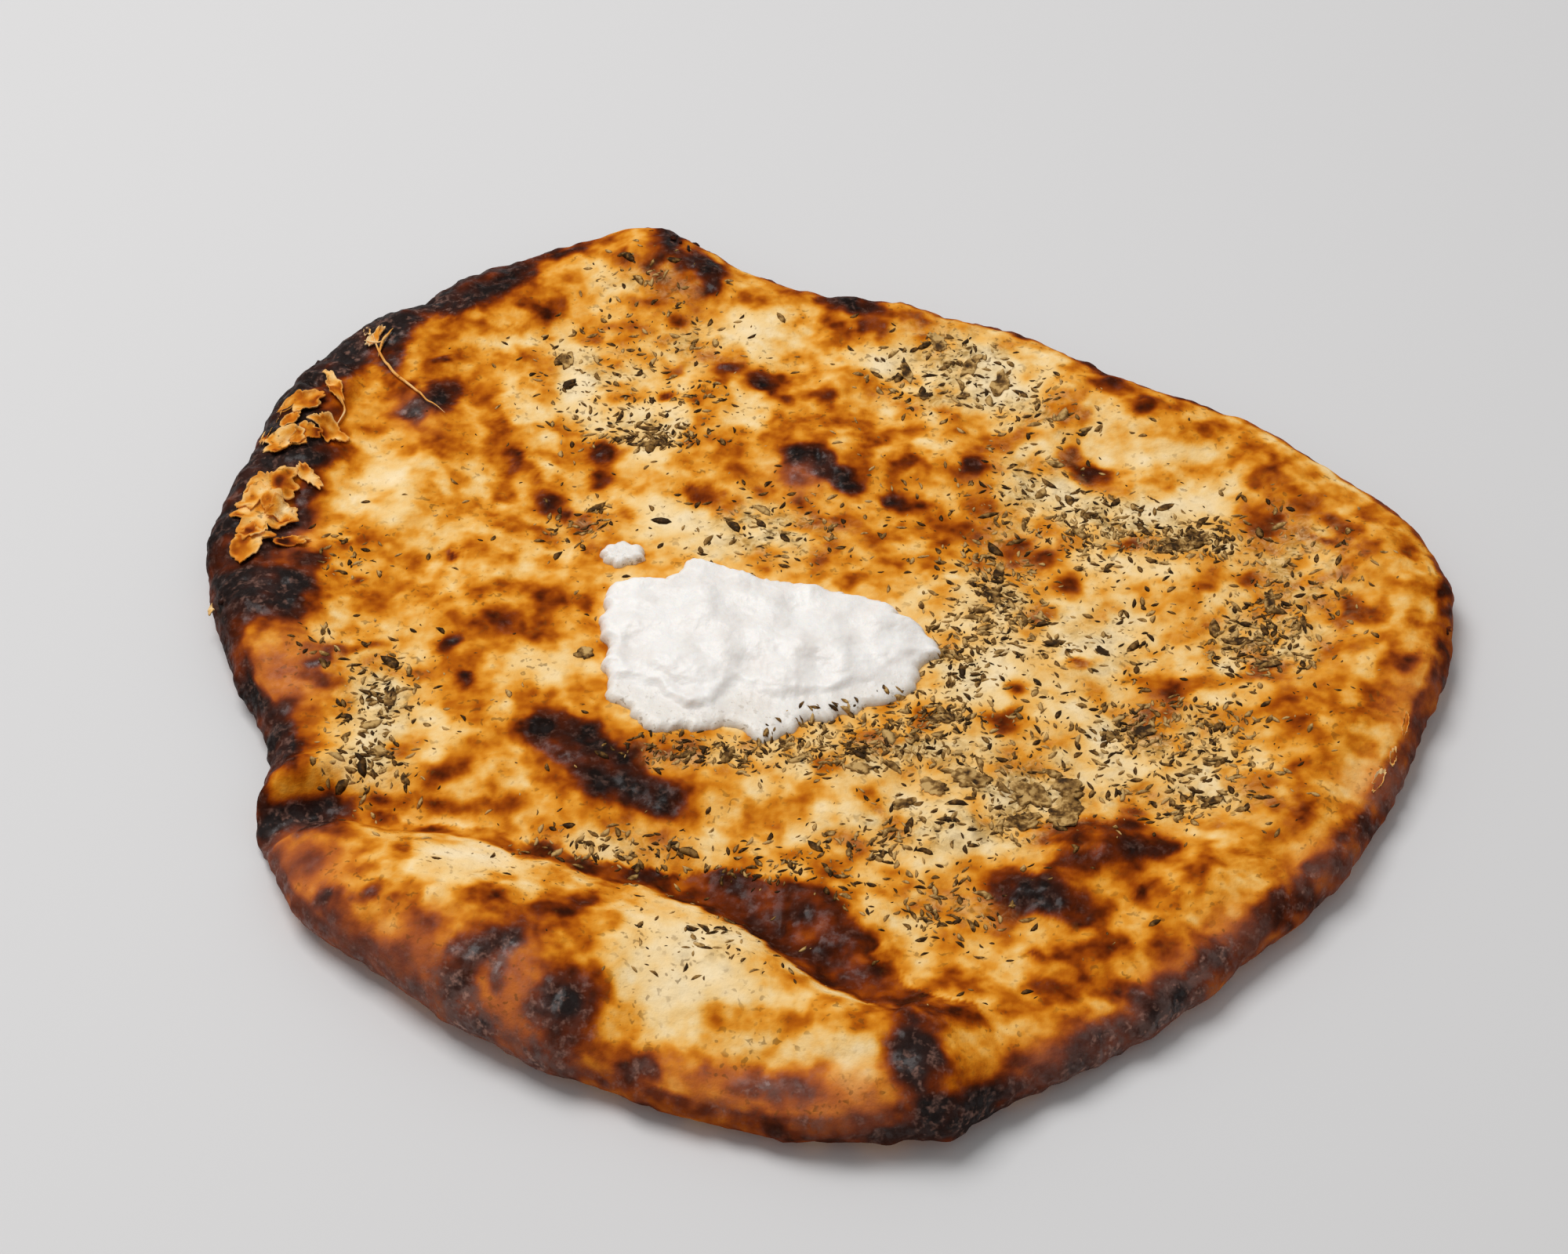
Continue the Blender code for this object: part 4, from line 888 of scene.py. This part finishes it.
def add_herbs(name, places, sunk, proud_share, material, seed):
    """Curled leaves, pointed at both ends, draped over the crust half sunk in it. Each leaf is two tips
    and three diamond sections; all leaves are worked out at once, a row each."""
    draw = np.random.default_rng(seed)
    x, y, length, turn = places.T[:, :, None]
    share = np.array([-0.5, *np.repeat([-0.28, 0.04, 0.3], 4), 0.5])
    breadth = np.array([0.0, *np.repeat([0.8, 1.0, 0.62], 4), 0.0])
    side = np.array([0.0, *np.tile([-1.0, 0.0, 1.0, 0.0], 3), 0.0])
    is_top = np.array([0.0, *np.tile([0.0, 1.0, 0.0, 0.0], 3), 0.0])
    is_low = np.array([0.0, *np.tile([0.0, 0.0, 0.0, 1.0], 3), 0.0])
    width = length * draw.uniform(0.26, 0.52, length.shape) * 0.5
    curl = length * draw.uniform(-0.16, 0.16, length.shape)
    tall = np.clip(proud_share * length, 0.08, 0.4)
    across = curl * np.cos(np.pi * share) * (breadth > 0) + width * side * breadth
    along = length * share
    lift = 0.12 * tall + tall * is_top * breadth - sunk * is_low
    angle = np.radians(turn)
    px = (x + along * np.cos(angle) - across * np.sin(angle)).ravel()
    py = (y + along * np.sin(angle) + across * np.cos(angle)).ravel()
    ground = np.maximum(crust_height(px, py), smear_top(px, py))
    points = np.stack([px, py, ground + lift.ravel()], 1)
    leaf = []
    for corner in range(4):
        after = (corner + 1) % 4
        leaf.append((0, 1 + after, 1 + corner))
        for station in (1, 5):
            near, far = station + corner, station + after
            leaf += [(near, far, far + 4), (near, far + 4, near + 4)]
        leaf.append((13, 9 + corner, 9 + after))
    faces = np.array(leaf)[None, :, ::-1] + 14 * np.arange(len(places))[:, None, None]
    tone = np.repeat(draw.uniform(size=len(places)), 14)
    return add_piece(name, points, faces.reshape(-1, 3).tolist(), material, tone=tone)


def swept_tube(path, sides=8):
    """A tapered round strand along a path of x, y, height over the crust and radius: rings square to the
    path on a smooth curve through its points, narrowed towards both ends and closed there by a flat face."""
    rows = np.array(path)
    fine = np.linspace(0.0, len(rows) - 1.0, 8 * len(rows))
    x, y, height, radius = (np.interp(fine, np.arange(len(rows)), column) for column in rows.T)
    for _ in range(5):
        for line in (x, y):
            line[1:-1] = np.convolve(line, (0.25, 0.5, 0.25), "valid")
    spine = np.stack([x, y, crust_height(x, y) + height], 1)
    forward = np.gradient(spine, axis=0)
    forward /= np.linalg.norm(forward, axis=1, keepdims=True)
    across = np.cross(forward, (0.0, 0.0, 1.0))
    across /= np.linalg.norm(across, axis=1, keepdims=True)
    above = np.cross(across, forward)
    radius = radius * np.sin(np.pi * np.clip(fine / fine[-1], 0.04, 0.96)) ** 0.5
    turn = (2.0 * np.pi * np.arange(sides) / sides)[None, :, None]
    ring = across[:, None] * np.cos(turn) + above[:, None] * np.sin(turn)
    points = (spine[:, None] + radius[:, None, None] * ring).reshape(-1, 3)
    index = np.arange(len(points)).reshape(-1, sides)
    faces = np.concatenate([band_faces(near, far) for near, far in zip(index[:-1], index[1:])])
    return points, faces.tolist() + [index[0].tolist(), index[-1][::-1].tolist()]


def joined(parts):
    """Joins lists of points and faces into one list each, counting the faces' points on."""
    points, faces, start = [], [], 0
    for own_points, own_faces in parts:
        points.append(own_points)
        faces += [[start + corner for corner in face] for face in own_faces]
        start += len(own_points)
    return np.concatenate(points), faces


def add_strands(material):
    """All strands as one piece."""
    points, faces = joined([swept_tube(path) for path in STRANDS])
    bake = 0.26 + 0.12 * gradient_noise(points, 4.0, 91)
    fields = {"bake": bake, "stain": 0, "ash": 0, "blush": 0.5, "gloss": 0}
    return add_piece("dough_strands", points, faces, material, **fields)


def peeling(x, y, long, wide, turn, curl, phase, cells=PEELING_CELLS):
    """A thin scale: a disc grid with a torn edge, laid over the crust, creased and curling up at its
    edge. Returns its points, its faces and each point's share of the reach."""
    ring, bearing = round_grid(cells)
    bearing = np.radians(bearing)
    around = np.stack([np.cos(bearing), np.sin(bearing), np.full_like(bearing, phase)], 1)
    torn = 1.0 + 0.5 * gradient_noise(around, 1.1, 65) + 0.3 * gradient_noise(around, 0.4, 66)
    torn += 0.16 * gradient_noise(around, 0.16, 68)
    u, v = long * ring * torn * np.cos(bearing), wide * ring * torn * np.sin(bearing)
    angle = np.radians(turn)
    px, py = x + u * np.cos(angle) - v * np.sin(angle), y + u * np.sin(angle) + v * np.cos(angle)
    flat = np.stack([px, py, np.full_like(px, phase)], 1)
    bent = 0.6 + 0.7 * gradient_noise(around, 0.8, 69)
    lift = 0.45 + curl * bent * ring**3 + curl * 0.4 * fractal_noise(flat, 3.4, 2, 61)
    top = np.stack([px, py, crust_height(px, py) + lift], 1)
    border, faces = grid_border(cells), grid_faces(cells)
    wall, under = band_faces(border, border + len(top)), faces[:, ::-1] + len(top)
    points = np.concatenate([top, top - (0.0, 0.0, PEELING_THICKNESS)])
    return points, np.concatenate([faces, wall, under]).tolist(), np.tile(ring, 2)


def add_peelings(material):
    """All scales as one piece, browned unevenly and paler at their edges."""
    made = [peeling(*row[:6], phase=1.7 * index) for index, row in enumerate(PEELINGS)]
    points, faces = joined([part[:2] for part in made])
    edge = smooth(0.76, 0.96, np.concatenate([part[2] for part in made]))
    bake = np.repeat([row[6] for row in PEELINGS], 2 * (PEELING_CELLS + 1) ** 2)
    bake = bake + 0.4 * fractal_noise(points, 4.5, 2, 67) * (1.0 - edge) - 0.12 * edge
    fields = {"bake": bake, "stain": 0, "ash": 0, "blush": 0.12 + 0.3 * edge, "gloss": 0}
    return add_piece("peeled_crust", points, faces, material, **fields)


def add_leaves(material):
    """Flat crumpled leaves of herb that lie on the crust."""
    made = [
        peeling(x, y, 0.8 * long, 0.8 * wide, turn, 0.25, 2.3 * index, LEAF_CELLS)
        for index, (x, y, long, wide, turn, _) in enumerate(LEAVES)
    ]
    points, faces = joined([part[:2] for part in made])
    points[:, 2] -= 0.25
    tone = np.repeat([row[5] for row in LEAVES], 2 * (LEAF_CELLS + 1) ** 2)
    tone = 0.15 + 0.75 * tone + 0.8 * fractal_noise(points, 2.4, 2, 37)
    return add_piece("flat_herb_leaves", points, faces, material, tone=tone)


def add_crumbs(material):
    """Lumps of char: rounded cubes of 26 points, roughened by noise, half sunk in the rim."""
    draw = np.random.default_rng(17)
    steps = np.array(list(np.ndindex(3, 3, 3))) - 1
    shell = steps[np.abs(steps).max(axis=1) > 0]
    code = {tuple(row): index for index, row in enumerate(shell.tolist())}
    faces = []
    for axis in range(3):
        first, second = (axis + 1) % 3, (axis + 2) % 3
        for side in (-1, 1):
            for a, b in ((-1, -1), (0, -1), (-1, 0), (0, 0)):
                corners = []
                for da, db in ((0, 0), (1, 0), (1, 1), (0, 1)):
                    place = [0, 0, 0]
                    place[axis], place[first], place[second] = side, a + da, b + db
                    corners.append(code[tuple(place)])
                faces.append(corners if side > 0 else corners[::-1])
    x, y = np.concatenate([
        np.stack([draw.normal(x, spread, count), draw.normal(y, spread, count)], 1)
        for x, y, spread, count in CRUMBS
    ]).T
    bearing = np.degrees(np.arctan2(y, x))
    centre = at(bearing, np.minimum(np.hypot(x, y), reach(bearing) - 2.0), np.zeros_like(x))
    size = draw.uniform(*CRUMB_SIZES, len(x))
    centre[:, 2] = crust_height(centre[:, 0], centre[:, 1]) + 0.2 * size
    stretch = draw.uniform(0.5, 1.5, (len(x), 1, 3)) * (1.0, 1.0, 0.7)
    ragged = draw.uniform(0.5, 1.3, (len(x), 26, 1))
    rounded = shell / np.linalg.norm(shell, axis=1, keepdims=True)
    points = centre[:, None] + size[:, None, None] * rounded * stretch * ragged
    listed = (np.array(faces) + 26 * np.arange(len(x))[:, None, None]).reshape(-1, 4).tolist()
    bake = np.repeat(draw.uniform(0.85, 1.0, len(x)), 26)
    fields = {"bake": bake, "stain": 0, "ash": 0.2, "blush": 0, "gloss": 0.3}
    return add_piece("char_crumbs", points.reshape(-1, 3), listed, material, **fields)


class Shader:
    """Short ways to add nodes to a tree whose textures all read one place. A value is a socket, a number
    or an sRGB colour of 0 to 255."""

    def __init__(self, tree, place):
        self.tree, self.place = tree, place

    def put(self, value, socket):
        """Links a socket, or sets a number or a colour."""
        if isinstance(value, bpy.types.NodeSocket):
            self.tree.links.new(value, socket)
        else:
            socket.default_value = linear(value) if socket.type == "RGBA" else value

    def feed(self, node, **values):
        """Gives the named inputs of a node their values."""
        for name, value in values.items():
            self.put(value, node.inputs[name.replace("_", " ")])

    def node(self, kind, settings=None, **values):
        """A node with its own settings and the values of its inputs."""
        made = self.tree.nodes.new(kind)
        for name, value in (settings or {}).items():
            setattr(made, name, value)
        self.feed(made, **values)
        return made

    def math(self, operation, first, second, clamp=False):
        """A maths node."""
        made = self.node("ShaderNodeMath", {"operation": operation, "use_clamp": clamp})
        self.put(first, made.inputs[0])
        self.put(second, made.inputs[1])
        return made.outputs[0]

    def times(self, first, *others):
        """The product of all values."""
        for other in others:
            first = self.math("MULTIPLY", first, other)
        return first

    def spread(self, value, low, high, new_low=0.0, new_high=1.0):
        """Maps a value from one range to another, held to the new range, on an S-curve."""
        ranges = {"From_Min": low, "From_Max": high, "To_Min": new_low, "To_Max": new_high}
        made = self.node("ShaderNodeMapRange", {"interpolation_type": "SMOOTHSTEP"}, Value=value, **ranges)
        return made.outputs["Result"]

    def noise(self, size, detail=2.0, roughness=0.5, distortion=0.0):
        """A noise texture whose largest features are this many millimetres."""
        values = {"Detail": detail, "Roughness": roughness, "Distortion": distortion}
        made = self.node("ShaderNodeTexNoise", Vector=self.place, Scale=1.0 / (size * MM), **values)
        return made.outputs["Fac"]

    def ramp(self, factor, stops):
        """A colour ramp of sRGB colours."""
        made = self.node("ShaderNodeValToRGB", Fac=factor)
        elements = made.color_ramp.elements
        while len(elements) < len(stops):
            elements.new(0.5)
        for element, (position, colour) in zip(elements, stops):
            element.position = position
            element.color = linear(colour)
        return made.outputs["Color"]

    def mix(self, factor, first, second):
        """A blend of two colours."""
        made = self.node("ShaderNodeMix", {"data_type": "RGBA"})
        self.put(factor, made.inputs[0])
        colours = [socket for socket in made.inputs if socket.type == "RGBA"]
        self.put(first, colours[0])
        self.put(second, colours[1])
        return next(socket for socket in made.outputs if socket.type == "RGBA")

    def attribute(self, name):
        """A number kept on the points of the mesh."""
        return self.node("ShaderNodeAttribute", {"attribute_name": name}).outputs["Fac"]

    def bump(self, height, depth, strength):
        """A normal from a height, for a bump of this depth in millimetres."""
        made = self.node("ShaderNodeBump", Strength=strength, Distance=depth * MM, Height=height)
        return made.outputs["Normal"]


def linear(colour):
    """Scene-linear RGBA from an sRGB colour of 0 to 255."""
    share = np.array(colour) / 255.0
    flat = np.where(share <= 0.04045, share / 12.92, ((share + 0.055) / 1.055) ** 2.4)
    return (*flat.tolist(), 1.0)


def new_group(name, inputs, outputs):
    """An empty shader node group with named sockets. Returns it with its input and output nodes."""
    tree = bpy.data.node_groups.new(name, "ShaderNodeTree")
    for side, titles in (("INPUT", inputs), ("OUTPUT", outputs)):
        for title, kind in titles.items():
            tree.interface.new_socket(title, in_out=side, socket_type=f"NodeSocket{kind}")
    return tree, tree.nodes.new("NodeGroupInput"), tree.nodes.new("NodeGroupOutput")


FIELDS = ("Bake", "Stain", "Ash", "Blush", "Gloss")


BAKE_STOPS = (
    (0.0, (251, 227, 182)),
    (0.14, (247, 209, 143)),
    (0.28, (241, 185, 98)),
    (0.4, (231, 156, 52)),
    (0.5, (213, 129, 26)),
    (0.6, (186, 98, 12)),
    (0.7, (154, 69, 6)),
    (0.8, (112, 42, 4)),
    (0.9, (66, 23, 4)),
    (1.0, (24, 13, 9)),
)
# Reddish browns; the darker stops are greyed towards lilac as a painted sheen of light.
BLUSH_AND_SHEEN_STOPS = (
    (0.0, (244, 214, 178)),
    (0.3, (234, 168, 104)),
    (0.5, (212, 120, 58)),
    (0.65, (178, 96, 56)),
    (0.8, (128, 70, 52)),
    (0.92, (76, 47, 40)),
    (1.0, (36, 27, 25)),
)
STAIN_STOPS = ((0.34, (104, 80, 42)), (0.46, (160, 130, 78)), (0.6, (226, 200, 148)))
# Pale flecks on char: partly grey ash, partly painted glints of light.
GLINT_AND_ASH_STOPS = ((0.38, (84, 58, 50)), (0.62, (166, 122, 106)))
HERB_STOPS = ((0.0, (52, 34, 13)), (0.3, (92, 62, 26)), (0.65, (148, 110, 56)), (1.0, (200, 162, 100)))
CREAM_STOPS = ((0.35, (238, 232, 226)), (0.6, (246, 242, 237)))
DUST = (98, 64, 24)
# A grey-lilac wash that is a painted sheen of light on the greasy crust.
PAINTED_SHEEN = (110, 84, 76)
CHAR = (36, 30, 29)
THIN_BUTTER = ((200, 180, 150), (232, 222, 206))
BUTTER_SPECK = (128, 104, 62)
PALE_FLOOR = (216, 215, 215)


def baked_dough_group():
    """Baked dough from its bake, herb stain, ash, blush and gloss: the colour from raw to black with
    mottling, with a painted sheen and painted glints over char and reddish crust, a roughness, a share of
    coat and a height for bump."""
    inputs = {"Position": "Vector", **dict.fromkeys(FIELDS, "Float")}
    outputs = {"Colour": "Color", "Roughness": "Float", "Coat": "Float", "Height": "Float"}
    tree, given, result = new_group("baked dough", inputs, outputs)
    bake, stain, ash, blush, gloss = (given.outputs[title] for title in FIELDS)
    shader = Shader(tree, given.outputs["Position"])
    math, times, spread, noise = shader.math, shader.times, shader.spread, shader.noise

    # The bake, mottled, but less so where it is pale, burnt or blushed
    broad = spread(noise(6.4, 1.2, 0.45, 0.2), 0.3, 0.7, -0.17, 0.17)
    fine = spread(noise(2.0, 1.0), 0.25, 0.75, -0.055, 0.055)
    calm = times(spread(bake, 0.7, 0.9, 1.0, 0.35), spread(bake, 0.05, 0.32, 0.35, 1.0))
    calm = times(calm, spread(blush, 0.0, 1.0, 1.0, 0.4))
    shown = math("ADD", bake, times(math("ADD", broad, fine), calm), clamp=True)
    # Reddish crust where blushed; its darker tones also stand for a painted sheen.
    reds_and_sheen = shader.ramp(shown, BLUSH_AND_SHEEN_STOPS)
    colour = shader.mix(times(blush, 0.75), shader.ramp(shown, BAKE_STOPS), reds_and_sheen)

    # Herb stain and dust
    green = shader.ramp(noise(3.0, 4.0, 0.65, 1.6), STAIN_STOPS)
    cover = times(stain, spread(noise(5.0, 3.0, 0.6), 0.36, 0.6), 0.8)
    colour = shader.mix(cover, colour, green)
    where = spread(noise(9.0, 1.0), 0.4, 0.7, 0.1, 0.75)
    where = math("MAXIMUM", where, times(stain, 1.2), clamp=True)
    dust = times(spread(noise(1.25, 1.0, 0.5, 0.4), 0.6, 0.68), times(where, spread(bake, 0.9, 0.6)))
    colour = shader.mix(times(dust, 0.75), colour, DUST)

    # Ash and painted sheen: a painted sheen of light washed over reddish crust, char under it, and pale
    # flecks that are partly grey ash and partly painted glints
    painted_sheen = times(ash, spread(noise(3.0, 3.0, 0.65), 0.4, 0.6, 0.05, 0.8), spread(blush, 0.1, 0.6, 0.1, 1.0))
    colour = shader.mix(painted_sheen, colour, PAINTED_SHEEN)
    colour = shader.mix(times(ash, spread(bake, 0.86, 0.98, 0.0, 0.75)), colour, CHAR)
    # Pale flecks on char and glossy crust: partly grey ash, partly painted glints.
    where = math("MAXIMUM", times(ash, spread(blush, 0.0, 0.8, 0.5, 0.85)), times(gloss, 0.45))
    glint_and_ash_flecks = times(spread(noise(1.9, 2.0, 0.6), 0.5, 0.66), where)
    colour = shader.mix(glint_and_ash_flecks, colour, shader.ramp(noise(1.0, 2.0, 0.6), GLINT_AND_ASH_STOPS))

    pores = noise(0.9, 3.0, 0.6)
    roughness = math("ADD", 0.5, times(pores, 0.3))
    coat = times(gloss, spread(noise(1.6, 2.0, 0.6), 0.42, 0.62, 0.12, 0.6))
    height = math("ADD", times(pores, 0.5), noise(2.6, 3.0, 0.6))
    shader.feed(result, Colour=colour, Roughness=roughness, Coat=coat, Height=height)
    return tree


def new_material(name):
    """A material, its Principled surface and a shader that reads Object coordinates."""
    made = bpy.data.materials.new(name)
    made.use_nodes = True
    tree = made.node_tree
    place = tree.nodes.new("ShaderNodeTexCoord").outputs["Object"]
    return made, tree.nodes["Principled BSDF"], Shader(tree, place)


def crust_material(dough):
    made, surface, shader = new_material("baked crust")
    fields = {title: shader.attribute(title.lower()) for title in FIELDS}
    group = shader.node("ShaderNodeGroup", {"node_tree": dough}, Position=shader.place, **fields)
    colour, roughness, coat, height = group.outputs
    shader.feed(surface, Base_Color=colour, Roughness=roughness, Coat_Weight=coat, Coat_Roughness=0.24)
    shader.feed(surface, Specular_IOR_Level=0.02, Normal=shader.bump(height, 0.5, 0.6))
    return made


def herb_material():
    made, surface, shader = new_material("dried herb")
    patchy = shader.spread(shader.noise(1.5, 2.0, 0.6), 0.35, 0.65, -0.3, 0.3)
    tone = shader.math("ADD", shader.attribute("tone"), patchy, clamp=True)
    normal = shader.bump(shader.noise(0.5, 2.0), 0.2, 0.5)
    shader.feed(surface, Base_Color=shader.ramp(tone, HERB_STOPS), Normal=normal)
    shader.feed(surface, Roughness=0.62, Specular_IOR_Level=0.1)
    return made


def butter_material():
    """White butter, darker and specked where it is thin."""
    made, surface, shader = new_material("white butter")
    cream = shader.ramp(shader.noise(7.0, 4.0, 0.6), CREAM_STOPS)
    thin = shader.spread(shader.attribute("thickness"), 0.2, 1.9, 1.0, 0.0)
    under = shader.mix(shader.noise(3.0, 3.0, 0.6), *THIN_BUTTER)
    colour = shader.mix(shader.times(thin, 0.75), cream, under)
    speck = shader.times(shader.spread(shader.noise(1.2, 2.0, 0.6), 0.6, 0.68), thin, 0.7)
    colour = shader.mix(speck, colour, BUTTER_SPECK)
    height = shader.math("ADD", shader.noise(2.4, 4.0, 0.6), shader.times(shader.noise(0.8), 0.3))
    shader.feed(surface, Base_Color=colour, Roughness=0.42, Normal=shader.bump(height, 0.5, 0.5))
    surface.inputs["Subsurface Weight"].default_value = 0.35
    surface.inputs["Subsurface Radius"].default_value = (1.0, 0.85, 0.7)
    surface.inputs["Subsurface Scale"].default_value = 2.0 * MM
    return made


def add_floor():
    """A plain pale floor that curves up into a backdrop far behind."""
    made, surface, shader = new_material("pale floor")
    shader.feed(surface, Base_Color=PALE_FLOOR, Roughness=0.7)
    side = np.linspace(-2600.0, 2600.0, 41)
    x, y = (axis.ravel() for axis in np.meshgrid(side, side))
    points = np.stack([x, y, 1400.0 * smooth(900.0, 2600.0, y)], 1)
    floor = add_piece("floor", points, grid_faces(40).tolist(), made)


def add_lights():
    """Even light from all round, and one soft square light turned towards the bread."""
    world = bpy.data.worlds.new("soft room")
    world.use_nodes = True
    world.node_tree.nodes["Background"].inputs["Color"].default_value = (1.0, 1.0, 1.0, 1.0)
    world.node_tree.nodes["Background"].inputs["Strength"].default_value = ROOM_STRENGTH
    bpy.context.scene.world = world
    data = bpy.data.lights.new("softbox", "AREA")
    data.shape = "SQUARE"
    data.size = SOFTBOX_SIDE
    data.energy = SOFTBOX_POWER
    light = bpy.data.objects.new("softbox", data)
    bpy.context.scene.collection.objects.link(light)
    light.location = SOFTBOX_PLACE
    light.rotation_euler = (-Vector(SOFTBOX_PLACE)).to_track_quat("-Z", "Y").to_euler()


def add_camera():
    data = bpy.data.cameras.new("camera")
    data.lens = CAMERA_LENS
    data.sensor_width = 36.0
    camera = bpy.data.objects.new("camera", data)
    bpy.context.scene.collection.objects.link(camera)
    camera.location = (CAMERA * MM).tolist()
    camera.rotation_euler = (np.radians(90.0 - CAMERA_ELEVATION), 0.0, 0.0)
    bpy.context.scene.camera = camera


def main():
    bpy.context.scene.view_settings.view_transform = "Standard"
    dough = baked_dough_group()
    crust = crust_material(dough)
    herb = herb_material()
    butter = butter_material()

    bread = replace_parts(add_bread(crust), "kulcha")
    smear_form = (SMEAR_CELLS, (SMEAR_X, SMEAR_Y), smear_reach, smear_depth, SMEAR_RUN)
    dab_form = (DAB_CELLS, (DAB_X, DAB_Y), dab_reach, dab_depth, DAB_RUN)
    smear = add_butter("butter_smear", *smear_form, butter)
    dab = add_butter("butter_dab_small", *dab_form, butter)
    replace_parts(smear, "butter")
    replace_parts(dab, "butter_dab")
    big = add_herbs("big_herb_flecks", big_herb_places(), HERB_SUNK, 0.16, herb, 5)
    small = add_herbs("small_herb_flecks", small_herb_places(), 0.2, SMALL_HERB_HEIGHT_SHARE, herb, 6)
    leaves = add_leaves(herb)
    scales_piece, strands, crumbs = add_peelings(crust), add_strands(crust), add_crumbs(crust)
    for piece in (bread, big, small, leaves, scales_piece, strands, crumbs):
        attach(piece, "root")
    for piece in (smear, dab):
        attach(piece, "root")

    add_floor()
    add_lights()
    add_camera()


main()
